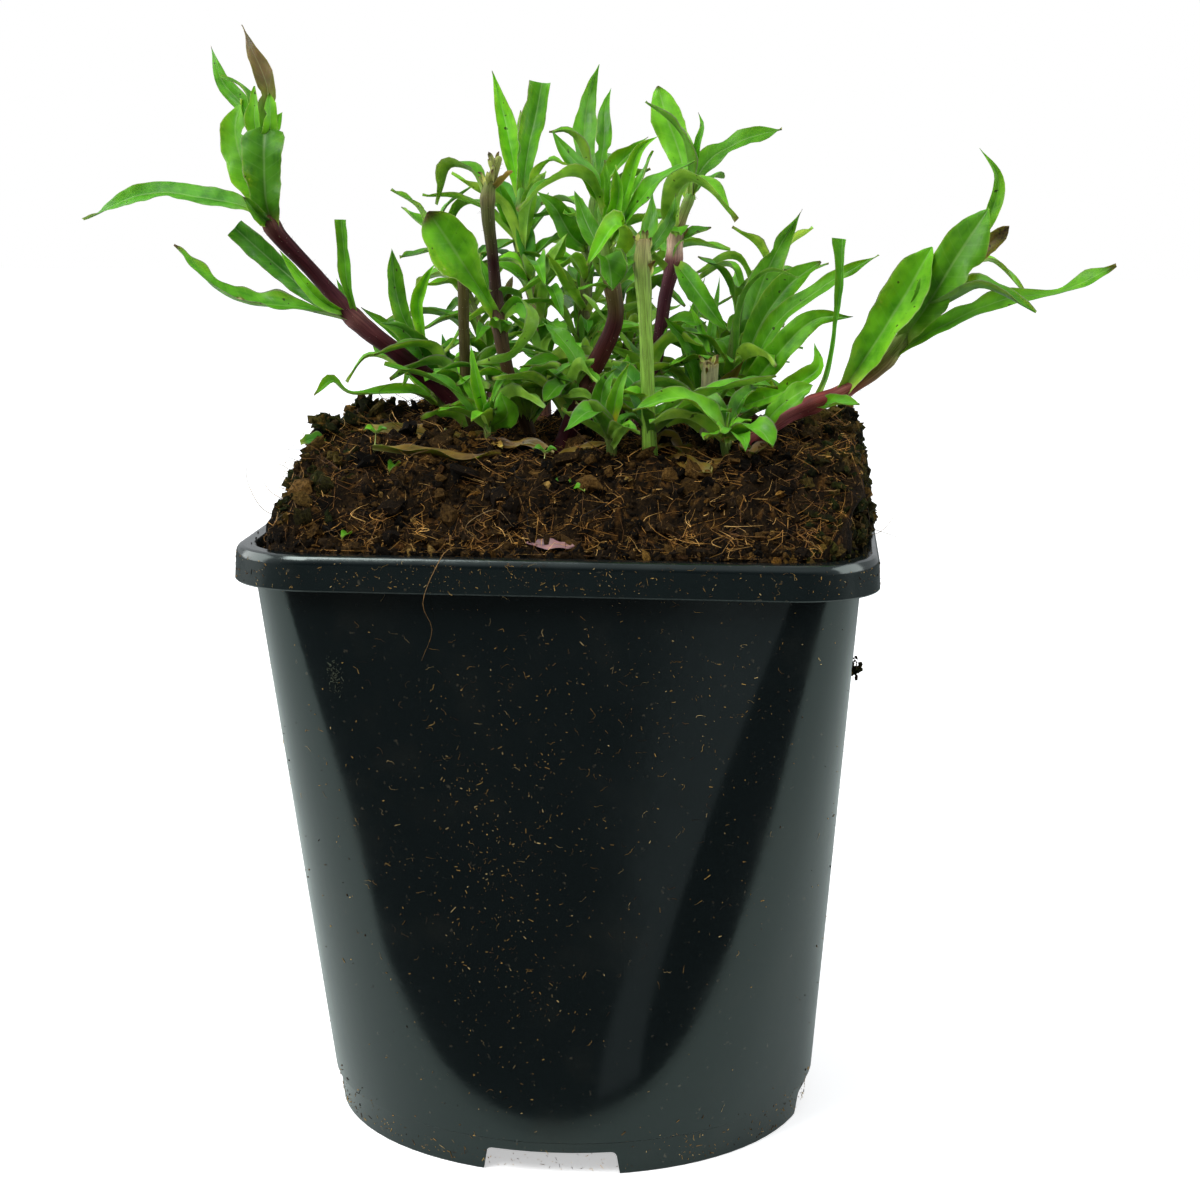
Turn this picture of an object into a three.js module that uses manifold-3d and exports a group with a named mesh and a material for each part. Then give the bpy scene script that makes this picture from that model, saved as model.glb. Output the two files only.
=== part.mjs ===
// Ragged robin in its nursery pot.
//
// A young perennial with leafy, maroon-stemmed shoots stands in a mound of peat soil, in a thin plastic
// pot that is square at the rim and round at the foot. Lengths are in millimetres, +Z is up, and the
// origin is on the pot's axis, on the surface that the pot stands on. -Y is the front.

import * as THREE from 'three';
import { mergeVertices } from 'three/addons/utils/BufferGeometryUtils.js';
import Module from 'manifold-3d';

const wasm = await Module();
wasm.setup();

// The finest step between two points of a solid
const GRAIN = 0.02;

// Driving dimensions of the pot
const POT_HEIGHT = 112;
const RIM_WIDTH = 110;
const RIM_CORNER = 15;
const RIM_DROP = 6;
const RIM_FLARE = 0.3;
const RIM_SKIN = 1.1;
const NECK_WIDTH = 104;
const NECK_CORNER = 13;
const WALL = 1.1;
const FOOT_STEP = 6.4;
const FOOT_RADIUS = 45.2;
const FOOT_INSET = 0.7;
const FLOOR_UNDERSIDE = 5.4;
const FLOOR_TOP = 7;
const NOTCH_WIDTH = 23;
const NOTCH_HEIGHT = 4.4;
const NOTCH_FLARE = 0.8;
const DRAIN_SLOT = { long: 11, wide: 5, radius: 35 };
const DRAIN_HOLE = { radius: 2.6, ring: 19, count: 4 };
const WALL_RINGS = 4;
const CORNER_STEPS = 6;

// Driving dimensions of the soil
const GAP = 0.3;
const SOIL_EDGE = 111;
const SOIL_RISE = 16.5;
const SOIL_HALF = 50.4;
const CHORD_ALLOWANCE = 0.35;
const SOIL_LIP = 0.3;
const SOIL_BULGE = { width: 4, angle: 0.7 };
const SOIL_SPREAD = { left: -51.6, right: 54.4, front: -51.6, back: 51.6 };
const SOIL_SLOPE = { left: 4, right: 1.6, front: 13, back: 14 };
const SOIL_CORNER = 13;
const SOIL_SPOKES = 44;
const SOIL_RINGS = 12;
const SOIL_BUMP = { coarse: 1.5, fine: 0.7 };
const SOIL_CLUMPS = [
  { x: -38, y: 8, radius: 8, rise: 4 },
  { x: -46, y: -20, radius: 6, rise: 2.5 },
  { x: -26, y: 18, radius: 9, rise: 2.5 },
  { x: 47, y: -4, radius: 7, rise: 2.5 },
  { x: 50, y: 16, radius: 5, rise: 3 },
  { x: 12, y: 34, radius: 9, rise: 2 },
  { x: -8, y: -42, radius: 7, rise: 1.5 },
  { x: 34, y: -38, radius: 7, rise: 2 },
];

// Driving dimensions of the plant
const STEM_SIDES = 6;
const STEM_STEP = 6.5;
const HOLE_CLEARANCE = 0.35;
const BLADE_STEP = 5.4;
const BLADE_STATIONS = { least: 4, most: 7 };
const RIB_THICKNESS = { base: 0.75, perWidth: 0.06 };
const BLADE_FOLD = 0.3;
const EDGE_WAVE = 0.07;
const EDGE_WAVES = 1.6;
const BLADE_CLEARANCE = 0.25;
const FREE_FROM = 0.45;
const DEPTH_BENDS = [0, 2, -2, 4, -4, 6, -6, 8, -8, 11, -11, 14, -14];
const TURN_BENDS = [0, 14, -14, 28, -28, 42, -42, 56, -56, 75, -75, 95, -95, 120, -120, 150, 180];

// Colours
const PLASTIC = new THREE.MeshStandardMaterial({ color: 0x14191d, roughness: 0.35, metalness: 0 });
const PEAT = new THREE.MeshStandardMaterial({ color: 0x33231a, roughness: 0.95, metalness: 0 });
const LEAF_GREEN = new THREE.MeshStandardMaterial({ color: 0x4c9433, roughness: 0.55, metalness: 0 });
const STUB_GREEN = new THREE.MeshStandardMaterial({ color: 0x7f9a55, roughness: 0.6, metalness: 0 });
const DEAD_LEAF = new THREE.MeshStandardMaterial({ color: 0xa8864a, roughness: 0.8, metalness: 0 });

// The way a leaf's upper side looks
const UP = [0, 0, 1];
const FRONT = [0, -1, 0.15];
const FRONT_UP = [0, -0.7, 0.7];

// A leaf's width at equal steps from root to tip, as a share of its full width
const FORMS = {
  lance: [0.34, 0.6, 0.88, 1, 0.86, 0.52, 0.07],
  strap: [0.5, 0.8, 1, 0.97, 0.9, 0.72, 0.2],
  blunt: [0.34, 0.5, 0.75, 0.96, 1, 0.85, 0.4],
  spoon: [0.3, 0.3, 0.42, 0.8, 1, 0.62, 0.24, 0.12],
  cut: [0.36, 0.5, 0.72, 0.88, 1, 0.97, 0.9],
  fork: [0.36, 0.3, 0.3, 0.33, 0.4, 0.6, 1],
  waist: [0.3, 0.5, 0.78, 0.9, 0.75, 0.5, 0.38, 0.74, 0.16],
};

// The shoots that the front shows. A stem has the points it passes and its radius at each of them.
// A leaf has the points that its rib passes, from the stem's middle to its tip, then its full width,
// the way it looks and its form. A shoot's basal leaves follow the rule below.
const SHOOTS = [
  {
    name: 'shoot_far_left',
    stem: [[-17, 0, 119], [-19.5, 0, 125.5], [-23, 0, 132.5], [-32, -2, 140.5], [-40.5, -4, 147.5],
      [-48.5, -5, 156.5], [-55.5, -6, 164.5], [-56.5, -6, 171], [-57, -6, 178]],
    radii: [2, 2.1, 1.9, 1.8, 2, 1.5, 1.8, 1.2, 0.7],
    leaves: [
      leaf([[-55.5, -6, 164.5], [-61, -4, 168], [-70.5, 0, 169.5], [-81, 5, 170], [-96, 10, 165.5]],
        5, FRONT_UP, 'lance'),
      leaf([[-55.5, -6, 164.5], [-56, -9, 169.5], [-56, -10, 175.5], [-56, -10, 182.5]], 8, FRONT, 'cut'),
      leaf([[-56.5, -6, 166.5], [-60, -5, 173.5], [-62.5, -4, 180.5], [-62, -3, 187.5]],
        6.5, FRONT, 'lance'),
      leaf([[-57, -6, 178], [-56.5, -5, 185.5], [-56.5, -5, 190.5], [-61.5, -4, 200.5]],
        3.6, FRONT, 'lance'),
      leaf([[-57, -6, 177], [-61, -3, 185.5], [-65.5, -2, 190.5], [-68, -2, 197]], 3.4, FRONT, 'lance'),
      leaf([[-57, -6, 177], [-58, -8, 183.5], [-57.5, -8, 189.5]], 3, FRONT, 'strap'),
      leaf([[-57, -6, 177], [-55, -9, 182.5], [-55, -9, 188.5]], 3, FRONT, 'strap'),
      leaf([[-57, -6, 178], [-60, -5, 188.5], [-65, -4, 191.5]], 2.6, UP, 'lance'),
      leaf([[-56.5, -6, 175.5], [-55, -5, 182], [-53.5, -5, 185]], 2.6, FRONT, 'strap'),
      leaf([[-55.5, -6, 164.5], [-57.5, -10, 167], [-59.5, -12, 170]], 2.4, FRONT, 'strap'),
      leaf([[-40.5, -4, 147.5], [-50, -8, 150], [-59, -10, 151], [-65, -11, 154], [-73, -10, 161]],
        5, FRONT_UP, 'spoon'),
      leaf([[-40.5, -4, 147.5], [-48.5, 0, 151], [-55.5, 3, 156], [-65, 4, 164]], 4.4, FRONT, 'cut'),
      leaf([[-41.5, -4, 148.5], [-47, -9, 152], [-53.5, -10, 160.5]], 2.6, FRONT, 'lance'),
      leaf([[-40.5, -4, 147.5], [-41.5, -7, 154], [-42, -8, 160.5], [-42, -8, 166]], 2.6, FRONT, 'cut'),
      leaf([[-40.5, -4, 147.5], [-43, -1, 151], [-45, 0, 155]], 1.6, FRONT, 'lance'),
    ],
    basal: { count: 3, seed: 11 },
  },
  {
    name: 'shoot_left_low',
    stem: [[-24, 12, 117], [-25, 12, 121], [-26.5, 12, 126.5], [-28.5, 11, 135.5], [-31, 10, 145]],
    radii: [1.5, 1.5, 1.4, 1.1, 0.7],
    leaves: [
      leaf([[-30, 10, 142], [-34, 11, 146.5], [-36, 12, 153], [-36.5, 12, 160]], 3.6, FRONT, 'strap'),
      leaf([[-30, 10, 142], [-31, 8, 149.5], [-29.5, 7, 154.5], [-27.5, 6, 157.5]], 2.8, FRONT, 'lance'),
      leaf([[-27.5, 11, 131.5], [-32.5, 7, 141], [-37, 6, 146], [-41.5, 6, 149.5]], 3, FRONT_UP, 'lance'),
      leaf([[-28, 11, 133.5], [-30, 4, 141.5], [-33, 2, 145.5], [-37, 1, 146.5]], 5, FRONT, 'lance'),
      leaf([[-27, 12, 129.5], [-35.5, 14, 137.5], [-42, 15, 139.5], [-45.5, 15, 134]], 3, UP, 'lance'),
      leaf([[-26.5, 12, 129], [-31.5, 6, 133.5], [-42.5, 2, 133.5], [-46, 0, 136.5], [-49.5, -2, 134.5]],
        2.8,
        FRONT_UP, 'waist'),
      leaf([[-28.5, 11, 135.5], [-27, 16, 139.5], [-28, 18, 143.5]], 2.2, FRONT, 'lance'),
    ],
    basal: { count: 5, seed: 23 },
  },
  {
    name: 'stub_left',
    material: STUB_GREEN,
    stem: [[-18.5, -4, 119], [-19, -4, 123], [-20, -4, 131.5], [-20.5, -5, 144.5], [-20.5, -6, 156]],
    radii: [1.4, 1.4, 1.25, 1.15, 1.2],
    leaves: [],
    basal: { count: 3, seed: 5 },
  },
  {
    name: 'shoot_dry_top',
    stem: [[-6.5, -12, 118], [-7, -12, 124], [-8, -12, 129], [-11.5, -13, 139.5], [-13, -14, 148.5],
      [-14, -14, 159], [-15, -14, 170], [-13, -14, 177]],
    radii: [1.5, 1.5, 1.45, 1.3, 1.6, 1.15, 1.4, 0.7],
    leaves: [
      leaf([[-15, -14, 170], [-18, -12, 175], [-22.5, -10, 175.5], [-24.5, -8, 168.5]], 3.8, UP, 'lance'),
      leaf([[-14, -14, 172], [-12.5, -15, 173], [-10.5, -15, 175]], 1.8, UP, 'strap'),
      leaf([[-13, -14, 148.5], [-15.5, -17, 153.5], [-20, -20, 161], [-24.5, -21, 168]], 9, FRONT, 'blunt'),
      leaf([[-13, -14, 148.5], [-15, -12, 154], [-17, -11, 160]], 3.2, FRONT, 'lance'),
      leaf([[-13, -14, 148.5], [-9, -17, 152], [-5.5, -21, 149], [-9.5, -22, 143], [-16, -21, 142]],
        4.6, UP, 'lance'),
      leaf([[-13, -14, 148.5], [-12, -12, 152.5], [-11, -10, 156.5]], 2, FRONT, 'lance'),
    ],
    basal: { count: 4, seed: 31 },
  },
  {
    name: 'shoot_centre',
    stem: [[-2, -16, 119], [-1.5, -16, 125], [0, -16, 130], [3, -17, 138], [8, -18, 148.5], [7.5, -18, 156],
      [6.5, -18, 163], [5.5, -18, 168.5]],
    radii: [2, 2, 1.8, 2, 1.7, 1.6, 1.2, 0.8],
    leaves: [
      leaf([[6, -18, 167.5], [4, -22, 174], [0, -25, 178.5], [-2, -26, 182]], 3.8, FRONT_UP, 'lance'),
      leaf([[6, -18, 167.5], [4, -25, 173.5], [-1, -30, 174], [-8, -34, 169.5]], 3.8, UP, 'lance'),
      leaf([[6.5, -18, 163], [10, -22, 171], [12.5, -24, 178.5], [16, -24, 181]], 3, FRONT, 'lance'),
      leaf([[6, -18, 166], [7.5, -23, 171], [6.5, -24, 177]], 2.2, FRONT, 'lance'),
      leaf([[6.5, -18, 163], [9, -24, 170.5], [9, -26, 176.5]], 3.2, FRONT, 'lance'),
      leaf([[7, -18, 161.5], [11, -23, 168], [16.5, -27, 174], [22, -29, 177.5]], 4.6, FRONT_UP, 'lance'),
      leaf([[7.5, -18, 158], [9.5, -24, 164], [8.5, -28, 166], [4.5, -30, 159]], 3.6, FRONT, 'strap'),
      leaf([[7.5, -18, 155], [6.5, -23, 160], [7.5, -27, 160], [8.5, -28, 155]], 6, FRONT_UP, 'blunt'),
      leaf([[7, -18, 159], [3, -15, 165.5], [0.5, -13, 171.5]], 3.6, FRONT, 'lance'),
      leaf([[3, -17, 138], [0, -15, 143.5], [-5, -13, 149]], 4, FRONT_UP, 'lance'),
      leaf([[3, -17, 138], [5.5, -20, 139], [8, -21, 140.5]], 1.6, UP, 'lance'),
      leaf([[7.5, -18, 154.5], [11, -14, 159], [13.5, -10, 165.5], [14, -8, 171.5]], 3.8, FRONT, 'lance'),
    ],
    basal: { count: 4, seed: 41 },
  },
  {
    name: 'stub_centre',
    material: STUB_GREEN,
    stem: [[15.5, -26, 120], [15.5, -26, 123.5], [15, -26, 128], [14.5, -26, 139.5], [14, -26, 150],
      [13.5, -26, 158], [13.5, -26, 163]],
    radii: [1.6, 1.6, 1.5, 1.4, 1.35, 1.7, 1.4],
    leaves: [
      leaf([[13.5, -26, 160], [15.5, -24, 163], [18, -22, 167], [19, -21, 171.5]], 2.4, FRONT, 'lance'),
    ],
    basal: { count: 3, seed: 53 },
  },
  {
    name: 'shoot_centre_right',
    stem: [[9, 2, 117], [9.5, 2, 122], [10.5, 2, 127.5], [14, 6, 140.5], [15.5, 7, 151.5], [17, 8, 158.5],
      [17.5, 8, 164], [20, 8, 170.5]],
    radii: [1.9, 1.9, 1.7, 1.5, 1.4, 1.7, 1.5, 0.9],
    leaves: [
      leaf([[17.5, 8, 162.5], [17, 2, 169], [20.5, -3, 173.5], [25, -6, 171], [29.5, -8, 167]],
        5.2, UP, 'lance'),
      leaf([[20, 8, 170.5], [22.5, 9, 176], [28, 11, 180], [36.5, 13, 183]], 4.4, FRONT_UP, 'strap'),
      leaf([[20, 8, 169.5], [17.5, 12, 178.5], [15, 13, 185], [13.5, 13, 190.5]], 6.2, FRONT, 'blunt'),
      leaf([[20, 8, 170], [19.5, 4, 179], [16.5, 2, 184], [12, 1, 187.5]], 3.4, UP, 'lance'),
      leaf([[20, 8, 170.5], [21, 6, 179], [22, 6, 183], [21, 6, 185.5]], 1.6, FRONT, 'lance'),
      leaf([[20, 8, 170.5], [22.5, 15, 173.5], [25.5, 20, 174.5]], 4.2, UP, 'blunt'),
      leaf([[17, 8, 158.5], [21.5, 2, 153.5], [27.5, -2, 146]], 4.6, FRONT_UP, 'lance'),
      leaf([[17, 8, 158.5], [15, 14, 161.5], [12, 18, 162.5]], 2.6, FRONT, 'lance'),
    ],
    basal: { count: 3, seed: 62 },
  },
  {
    name: 'tuft_right_low',
    stem: [[22, 6, 119], [22, 6, 122.5], [22, 6, 127], [22.5, 6, 134]],
    radii: [1.6, 1.6, 1.5, 1],
    leaves: [
      leaf([[22.5, 6, 133], [21.5, 3, 141.5], [16, 0, 148.5]], 4.2, FRONT, 'lance'),
      leaf([[22.5, 6, 133], [23, 8, 143], [20, 9, 150.5]], 2, FRONT, 'lance'),
      leaf([[22.5, 6, 133], [19.5, 12, 142.5], [22.5, 16, 155.5]], 2.2, FRONT, 'lance'),
      leaf([[22.5, 6, 133], [24, 12, 144.5], [25.5, 14, 155.5]], 1.8, FRONT, 'lance'),
      leaf([[22.5, 6, 131], [19.5, 18, 145], [27.5, 22, 151.5]], 3, UP, 'lance'),
    ],
    basal: { count: 3, seed: 71 },
  },
  {
    name: 'shoot_right',
    stem: [[28.5, 8, 118], [28.5, 8, 122.5], [28.5, 8, 128], [28, 10, 140], [29.5, 12, 151.5]],
    radii: [1.8, 1.8, 1.7, 1.1, 0.8],
    leaves: [
      leaf([[28.5, 8, 133], [30.5, 14, 144.5], [34.5, 18, 157], [40.5, 19, 168]], 6, FRONT, 'lance'),
      leaf([[28.5, 8, 132], [35.5, 5, 146], [43.5, 2, 153.5], [54.5, -1, 160.5]], 4.4, FRONT_UP, 'lance'),
      leaf([[28.5, 8, 133], [32.5, 10, 145], [37.5, 11, 153], [44, 12, 159]], 5.2, FRONT, 'blunt'),
      leaf([[28.5, 8, 130.5], [35.5, 1, 140.5], [43, -4, 148.5], [50.5, -6, 149.5]], 5.4, FRONT, 'lance'),
      leaf([[28.5, 9, 135.5], [30, 4, 151.5], [34.5, 1, 157], [40, -1, 155.5]], 1.8, UP, 'lance'),
      leaf([[28.5, 8, 133], [31.5, 18, 141.5], [36, 22, 150.5], [38, 23, 155.5]], 2.4, FRONT, 'lance'),
      leaf([[28.5, 8, 130], [27, 4, 136], [30.5, 0, 140.5]], 3, FRONT, 'lance'),
      leaf([[28.5, 8, 131], [37.5, -4, 135.5], [44, -6, 140], [43, -6, 144.5]], 4.2, FRONT_UP, 'strap'),
    ],
    basal: { count: 4, seed: 83 },
  },
  {
    name: 'stub_right',
    material: STUB_GREEN,
    stem: [[24.5, -14, 119], [24.5, -14, 123], [24.5, -14, 129.5], [25, -16, 141]],
    radii: [1.7, 1.7, 1.6, 1.7],
    leaves: [],
    basal: { count: 2, seed: 97 },
  },
  {
    name: 'shoot_far_right',
    stem: [[30, -16, 117], [30, -14.5, 122.5], [32.5, -14, 127.5], [38.5, -14, 132], [43.5, -14, 134.5],
      [50, -14, 137.5], [56, -14, 142.5], [61, -14, 149.5], [66.5, -14, 158]],
    radii: [1.8, 1.8, 1.7, 1.5, 1.8, 1.4, 1.7, 1.1, 0.7],
    leaves: [
      leaf([[48.5, -14, 137], [53.5, -17, 145], [58.5, -18, 153.5], [63.5, -18, 162.5]],
        7.6, FRONT, 'blunt'),
      leaf([[58.5, -14, 145.5], [62.5, -18, 152], [67, -20, 160], [72.5, -20, 169.5]], 8, FRONT, 'blunt'),
      leaf([[65, -14, 156], [72.5, -15, 166.5], [74.5, -15, 174], [71, -15, 179.5]], 2.6, FRONT, 'lance'),
      leaf([[66, -14, 157], [73, -12, 162.5], [77, -11, 166]], 3.4, FRONT, 'blunt'),
      leaf([[56, -14, 142.5], [64.5, -15, 148], [75.5, -13, 153], [87, -11, 155], [96, -10, 159.5]], 5,
        FRONT_UP, 'waist'),
      leaf([[61, -14, 149.5], [67, -10, 156], [74, -8, 160], [80.5, -6, 154.5]], 3.2, UP, 'lance'),
      leaf([[60, -14, 148], [66.5, -19, 153.5], [72.5, -22, 156], [81, -23, 151.5]], 3.8, UP, 'lance'),
      leaf([[43.5, -14, 134], [47.5, -17, 135], [51.5, -19, 135]], 3.2, FRONT_UP, 'lance'),
      leaf([[43.5, -14, 134.5], [46, -11, 141], [47.5, -10, 152.5], [48.5, -10, 163.5]],
        3.2, FRONT, 'fork'),
      leaf([[34, -14, 128.5], [36.5, -18, 133.5], [43, -20, 138.5]], 4.6, FRONT_UP, 'blunt'),
    ],
    basal: { count: 0, seed: 101 },
  },
  {
    name: 'shoot_back_left',
    stem: [[-8, 20, 118], [-8, 20, 123], [-8.5, 20, 129], [-9.5, 24, 144], [-14.5, 32, 161],
      [-14.5, 34, 170.5]],
    radii: [1.8, 1.8, 1.7, 1.4, 1.5, 0.9],
    leaves: [
      leaf([[-14.5, 34, 168], [-17, 38, 178.5], [-19, 41, 186], [-21.5, 43, 193.5]], 4.2, FRONT, 'lance'),
      leaf([[-14.5, 34, 168], [-13.5, 36, 177.5], [-12, 38, 185.5], [-11, 39, 191.5]], 5, FRONT, 'cut'),
      leaf([[-14.5, 34, 170], [-15.5, 43, 179.5], [-16.5, 46, 186.5]], 2.2, FRONT, 'lance'),
      leaf([[-14.5, 33, 166.5], [-9.5, 31, 176], [-5, 30, 177]], 3.2, UP, 'lance'),
      leaf([[-14.5, 32, 161], [-17, 28, 168], [-18.5, 26, 173.5]], 3.6, FRONT, 'lance'),
      leaf([[-14.5, 32, 162], [-12.5, 40, 167.5], [-10.5, 47, 170.5]], 4, UP, 'lance'),
    ],
    basal: { count: 4, seed: 113 },
  },
  {
    name: 'shoot_back',
    stem: [[0, 16, 119], [0, 16, 125], [0, 16, 129.5], [-1, 22, 144.5], [-0.5, 28, 159.5], [0.5, 30, 171]],
    radii: [1.8, 1.8, 1.7, 1.4, 1.5, 0.9],
    leaves: [
      leaf([[0.5, 30, 169], [-2, 34, 178.5], [-2, 37, 186.5], [0, 39, 195]], 4.8, FRONT, 'lance'),
      leaf([[0.5, 30, 170], [1.5, 36, 179.5], [1.5, 39, 186.5], [2.5, 41, 191]], 3.2, FRONT, 'lance'),
      leaf([[0.5, 30, 169], [-2, 28, 178.5], [-5, 27, 182.5], [-8, 27, 183.5]], 3, UP, 'lance'),
      leaf([[0.5, 30, 168], [4.5, 27, 175], [8, 26, 178.5], [11, 26, 181]], 3.6, FRONT_UP, 'lance'),
      leaf([[-0.5, 28, 159.5], [5.5, 24, 166.5], [10, 20, 173], [13, 18, 178.5]], 3.4, FRONT_UP, 'lance'),
      leaf([[-0.5, 28, 159.5], [-3.5, 22, 162.5], [-6, 18, 167.5], [-9, 16, 171]], 5, FRONT, 'lance'),
      leaf([[0.5, 30, 170], [1.5, 42, 176.5], [3, 51, 178.5]], 3.8, UP, 'lance'),
    ],
    basal: { count: 4, seed: 127 },
  },
  {
    name: 'tuft_front_right',
    stem: [[29, -28, 121], [29, -28, 125], [28.5, -28, 128], [28, -28, 130.5]],
    radii: [1.7, 1.7, 1.7, 1.3],
    leaves: [
      leaf([[28, -28, 130], [25.5, -30, 134], [20.5, -32, 137], [12.5, -34, 135]], 3.8, FRONT_UP, 'strap'),
      leaf([[28, -28, 130], [26.5, -24, 134.5], [23, -21, 136.5], [20, -19, 135]], 3.4, FRONT_UP, 'strap'),
      leaf([[28.5, -28, 130], [31.5, -31, 131.5], [34.5, -33, 131.5], [36.5, -34, 129]], 5, UP, 'blunt'),
      leaf([[28.5, -28, 130], [26, -32, 131], [25, -35, 130]], 3.6, UP, 'lance'),
      leaf([[28.5, -28, 130], [31.5, -35, 130.5], [32, -38, 128.5]], 3.6, UP, 'lance'),
    ],
    basal: { count: 2, seed: 131 },
  },
  {
    name: 'tuft_front_left',
    stem: [[-13.5, -18, 121], [-13.5, -18, 125], [-14, -18, 128], [-14.5, -18, 130.5]],
    radii: [1.6, 1.6, 1.6, 1.2],
    leaves: [
      leaf([[-14.5, -18, 129.5], [-16.5, -19, 135], [-19.5, -20, 139.5]], 2.2, FRONT, 'lance'),
      leaf([[-14.5, -18, 129.5], [-15.5, -22, 137], [-17, -23, 145]], 2.4, FRONT, 'lance'),
      leaf([[-14.5, -18, 129.5], [-10.5, -22, 132.5], [-11.5, -24, 136.5]], 4.4, FRONT, 'blunt'),
      leaf([[-14, -18, 129.5], [-18.5, -20, 132.5], [-22.5, -22, 134]], 3.2, UP, 'lance'),
      leaf([[-14, -18, 129.5], [-14.5, -24, 133], [-16, -29, 132]], 3, UP, 'lance'),
    ],
    basal: { count: 3, seed: 149 },
  },
  {
    name: 'tuft_middle',
    stem: [[8.5, -28, 121], [8.5, -28, 124.5], [8.5, -28, 128], [8, -28, 130]],
    radii: [1.6, 1.6, 1.6, 1.2],
    leaves: [
      leaf([[8, -28, 129.5], [6.5, -27, 134], [7, -27, 138.5], [9, -27, 141.5]], 3.8, FRONT, 'lance'),
      leaf([[8, -28, 129.5], [9, -29, 135], [10, -30, 139], [11.5, -30, 142.5]], 2.8, FRONT, 'lance'),
      leaf([[8, -28, 129.5], [4, -31, 132.5], [0, -33, 134.5]], 3.6, UP, 'lance'),
      leaf([[8, -28, 129.5], [10.5, -33, 132], [14, -36, 131.5]], 3.2, UP, 'lance'),
    ],
    basal: { count: 2, seed: 151 },
  },
];

// Shoots behind the ones above grow by rule, with pairs of leaves at right angles up the stem
const REAR_SHOOTS = [
  { name: 'shoot_rear_left', foot: [-19, 29], lean: [-14, 10], height: 34, pairs: 3, seed: 7,
    basal: { count: 4, seed: 163 } },
  { name: 'shoot_rear_middle', foot: [6, 36], lean: [3, 11], height: 30, pairs: 3, seed: 13,
    basal: { count: 4, seed: 173 } },
  { name: 'shoot_rear_right', foot: [24, 27], lean: [11, 10], height: 27, pairs: 3, seed: 29,
    basal: { count: 4, seed: 181 } },
];
const REAR_ROOT_Z = 119;
const REAR_SOIL_Z = 127;
const PAIR_LEAF = { length: 21, shrink: 0.82, wide: 4.2, rise: 0.75, droop: -0.1 };
const FALLEN_LEAF = { route: [[-33, -31], [-25, -31], [-17, -32], [-10, -34]], wide: 5, lift: 1 };
const BASAL_LEAF = {
  length: [15, 25], wide: [2.8, 4.2], rise: [0.55, 1.1], droop: [-0.5, 0.35], above: 2.5, lances: 0.6,
};

function leaf(rib, wide, face, form) {
  return { rib, wide, face, form };
}

// Random numbers from 0 to 1 that are the same each time for the same seed
function randomFrom(seed) {
  let state = seed >>> 0;
  return () => {
    state = (state + 0x6d2b79f5) >>> 0;
    let t = Math.imul(state ^ (state >>> 15), state | 1);
    t = (t + Math.imul(t ^ (t >>> 7), t | 61)) ^ t;
    return ((t ^ (t >>> 14)) >>> 0) / 4294967296;
  };
}

function mix(a, b, share) {
  return a + (b - a) * share;
}

// The value of a list at a share of its length, straight between its entries
function along(list, share) {
  const place = Math.min(Math.max(share, 0), 1) * (list.length - 1);
  const index = Math.min(Math.floor(place), list.length - 2);
  return mix(list[index], list[index + 1], place - index);
}

// A manifold solid from triangles, turned so that its faces point out
function solidFrom(positions, index) {
  const geometry = new THREE.BufferGeometry();
  geometry.setAttribute('position', new THREE.Float32BufferAttribute(positions, 3));
  geometry.setIndex(index);
  return solidOf(geometry);
}

function solidOf(geometry) {
  geometry.deleteAttribute('normal');
  geometry.deleteAttribute('uv');
  const merged = mergeVertices(geometry, 1e-4);
  const vertProperties = new Float32Array(merged.attributes.position.array);
  const triVerts = new Uint32Array(merged.index.array);
  if (signedVolume(vertProperties, triVerts) < 0) {
    for (let i = 0; i < triVerts.length; i += 3) {
      [triVerts[i + 1], triVerts[i + 2]] = [triVerts[i + 2], triVerts[i + 1]];
    }
  }
  return new wasm.Manifold(new wasm.Mesh({ numProp: 3, vertProperties, triVerts }));
}

function signedVolume(vertices, triangles) {
  const corner = (i) => new THREE.Vector3().fromArray(vertices, triangles[i] * 3);
  let volume = 0;
  for (let i = 0; i < triangles.length; i += 3) {
    volume += corner(i).dot(corner(i + 1).cross(corner(i + 2)));
  }
  return volume;
}

// A closed skin over rings that all have the same number of points, with flat ends
function loft(rings) {
  const count = rings[0].length;
  const positions = rings.flat().flatMap((p) => [p.x, p.y, p.z]);
  const index = [];
  for (let i = 0; i < rings.length - 1; i += 1) {
    for (let j = 0; j < count; j += 1) {
      const a = i * count + j;
      const b = i * count + ((j + 1) % count);
      index.push(a, b, b + count, a, b + count, a + count);
    }
  }
  const last = (rings.length - 1) * count;
  for (let j = 1; j < count - 1; j += 1) {
    index.push(0, j + 1, j, last, last + j, last + j + 1);
  }
  return solidFrom(positions, index);
}

// A solid with its points on a fine grid, as one body without the loose scraps that a cut leaves beside it
function settled(solid) {
  const { vertProperties, triVerts } = solid.getMesh();
  const rounded = Array.from(vertProperties, (value) => Math.round(value / GRAIN) * GRAIN);
  const bodies = solidFrom(rounded, Array.from(triVerts)).decompose();
  return bodies.reduce((main, body) => (body.volume() > main.volume() ? body : main));
}

function meshFrom(name, solid, material) {
  const { vertProperties, triVerts } = settled(solid).getMesh();
  const geometry = new THREE.BufferGeometry();
  geometry.setAttribute('position', new THREE.BufferAttribute(vertProperties, 3));
  geometry.setIndex(new THREE.BufferAttribute(triVerts, 1));
  geometry.computeVertexNormals();
  const mesh = new THREE.Mesh(geometry, material);
  mesh.name = name;
  return mesh;
}

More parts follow.
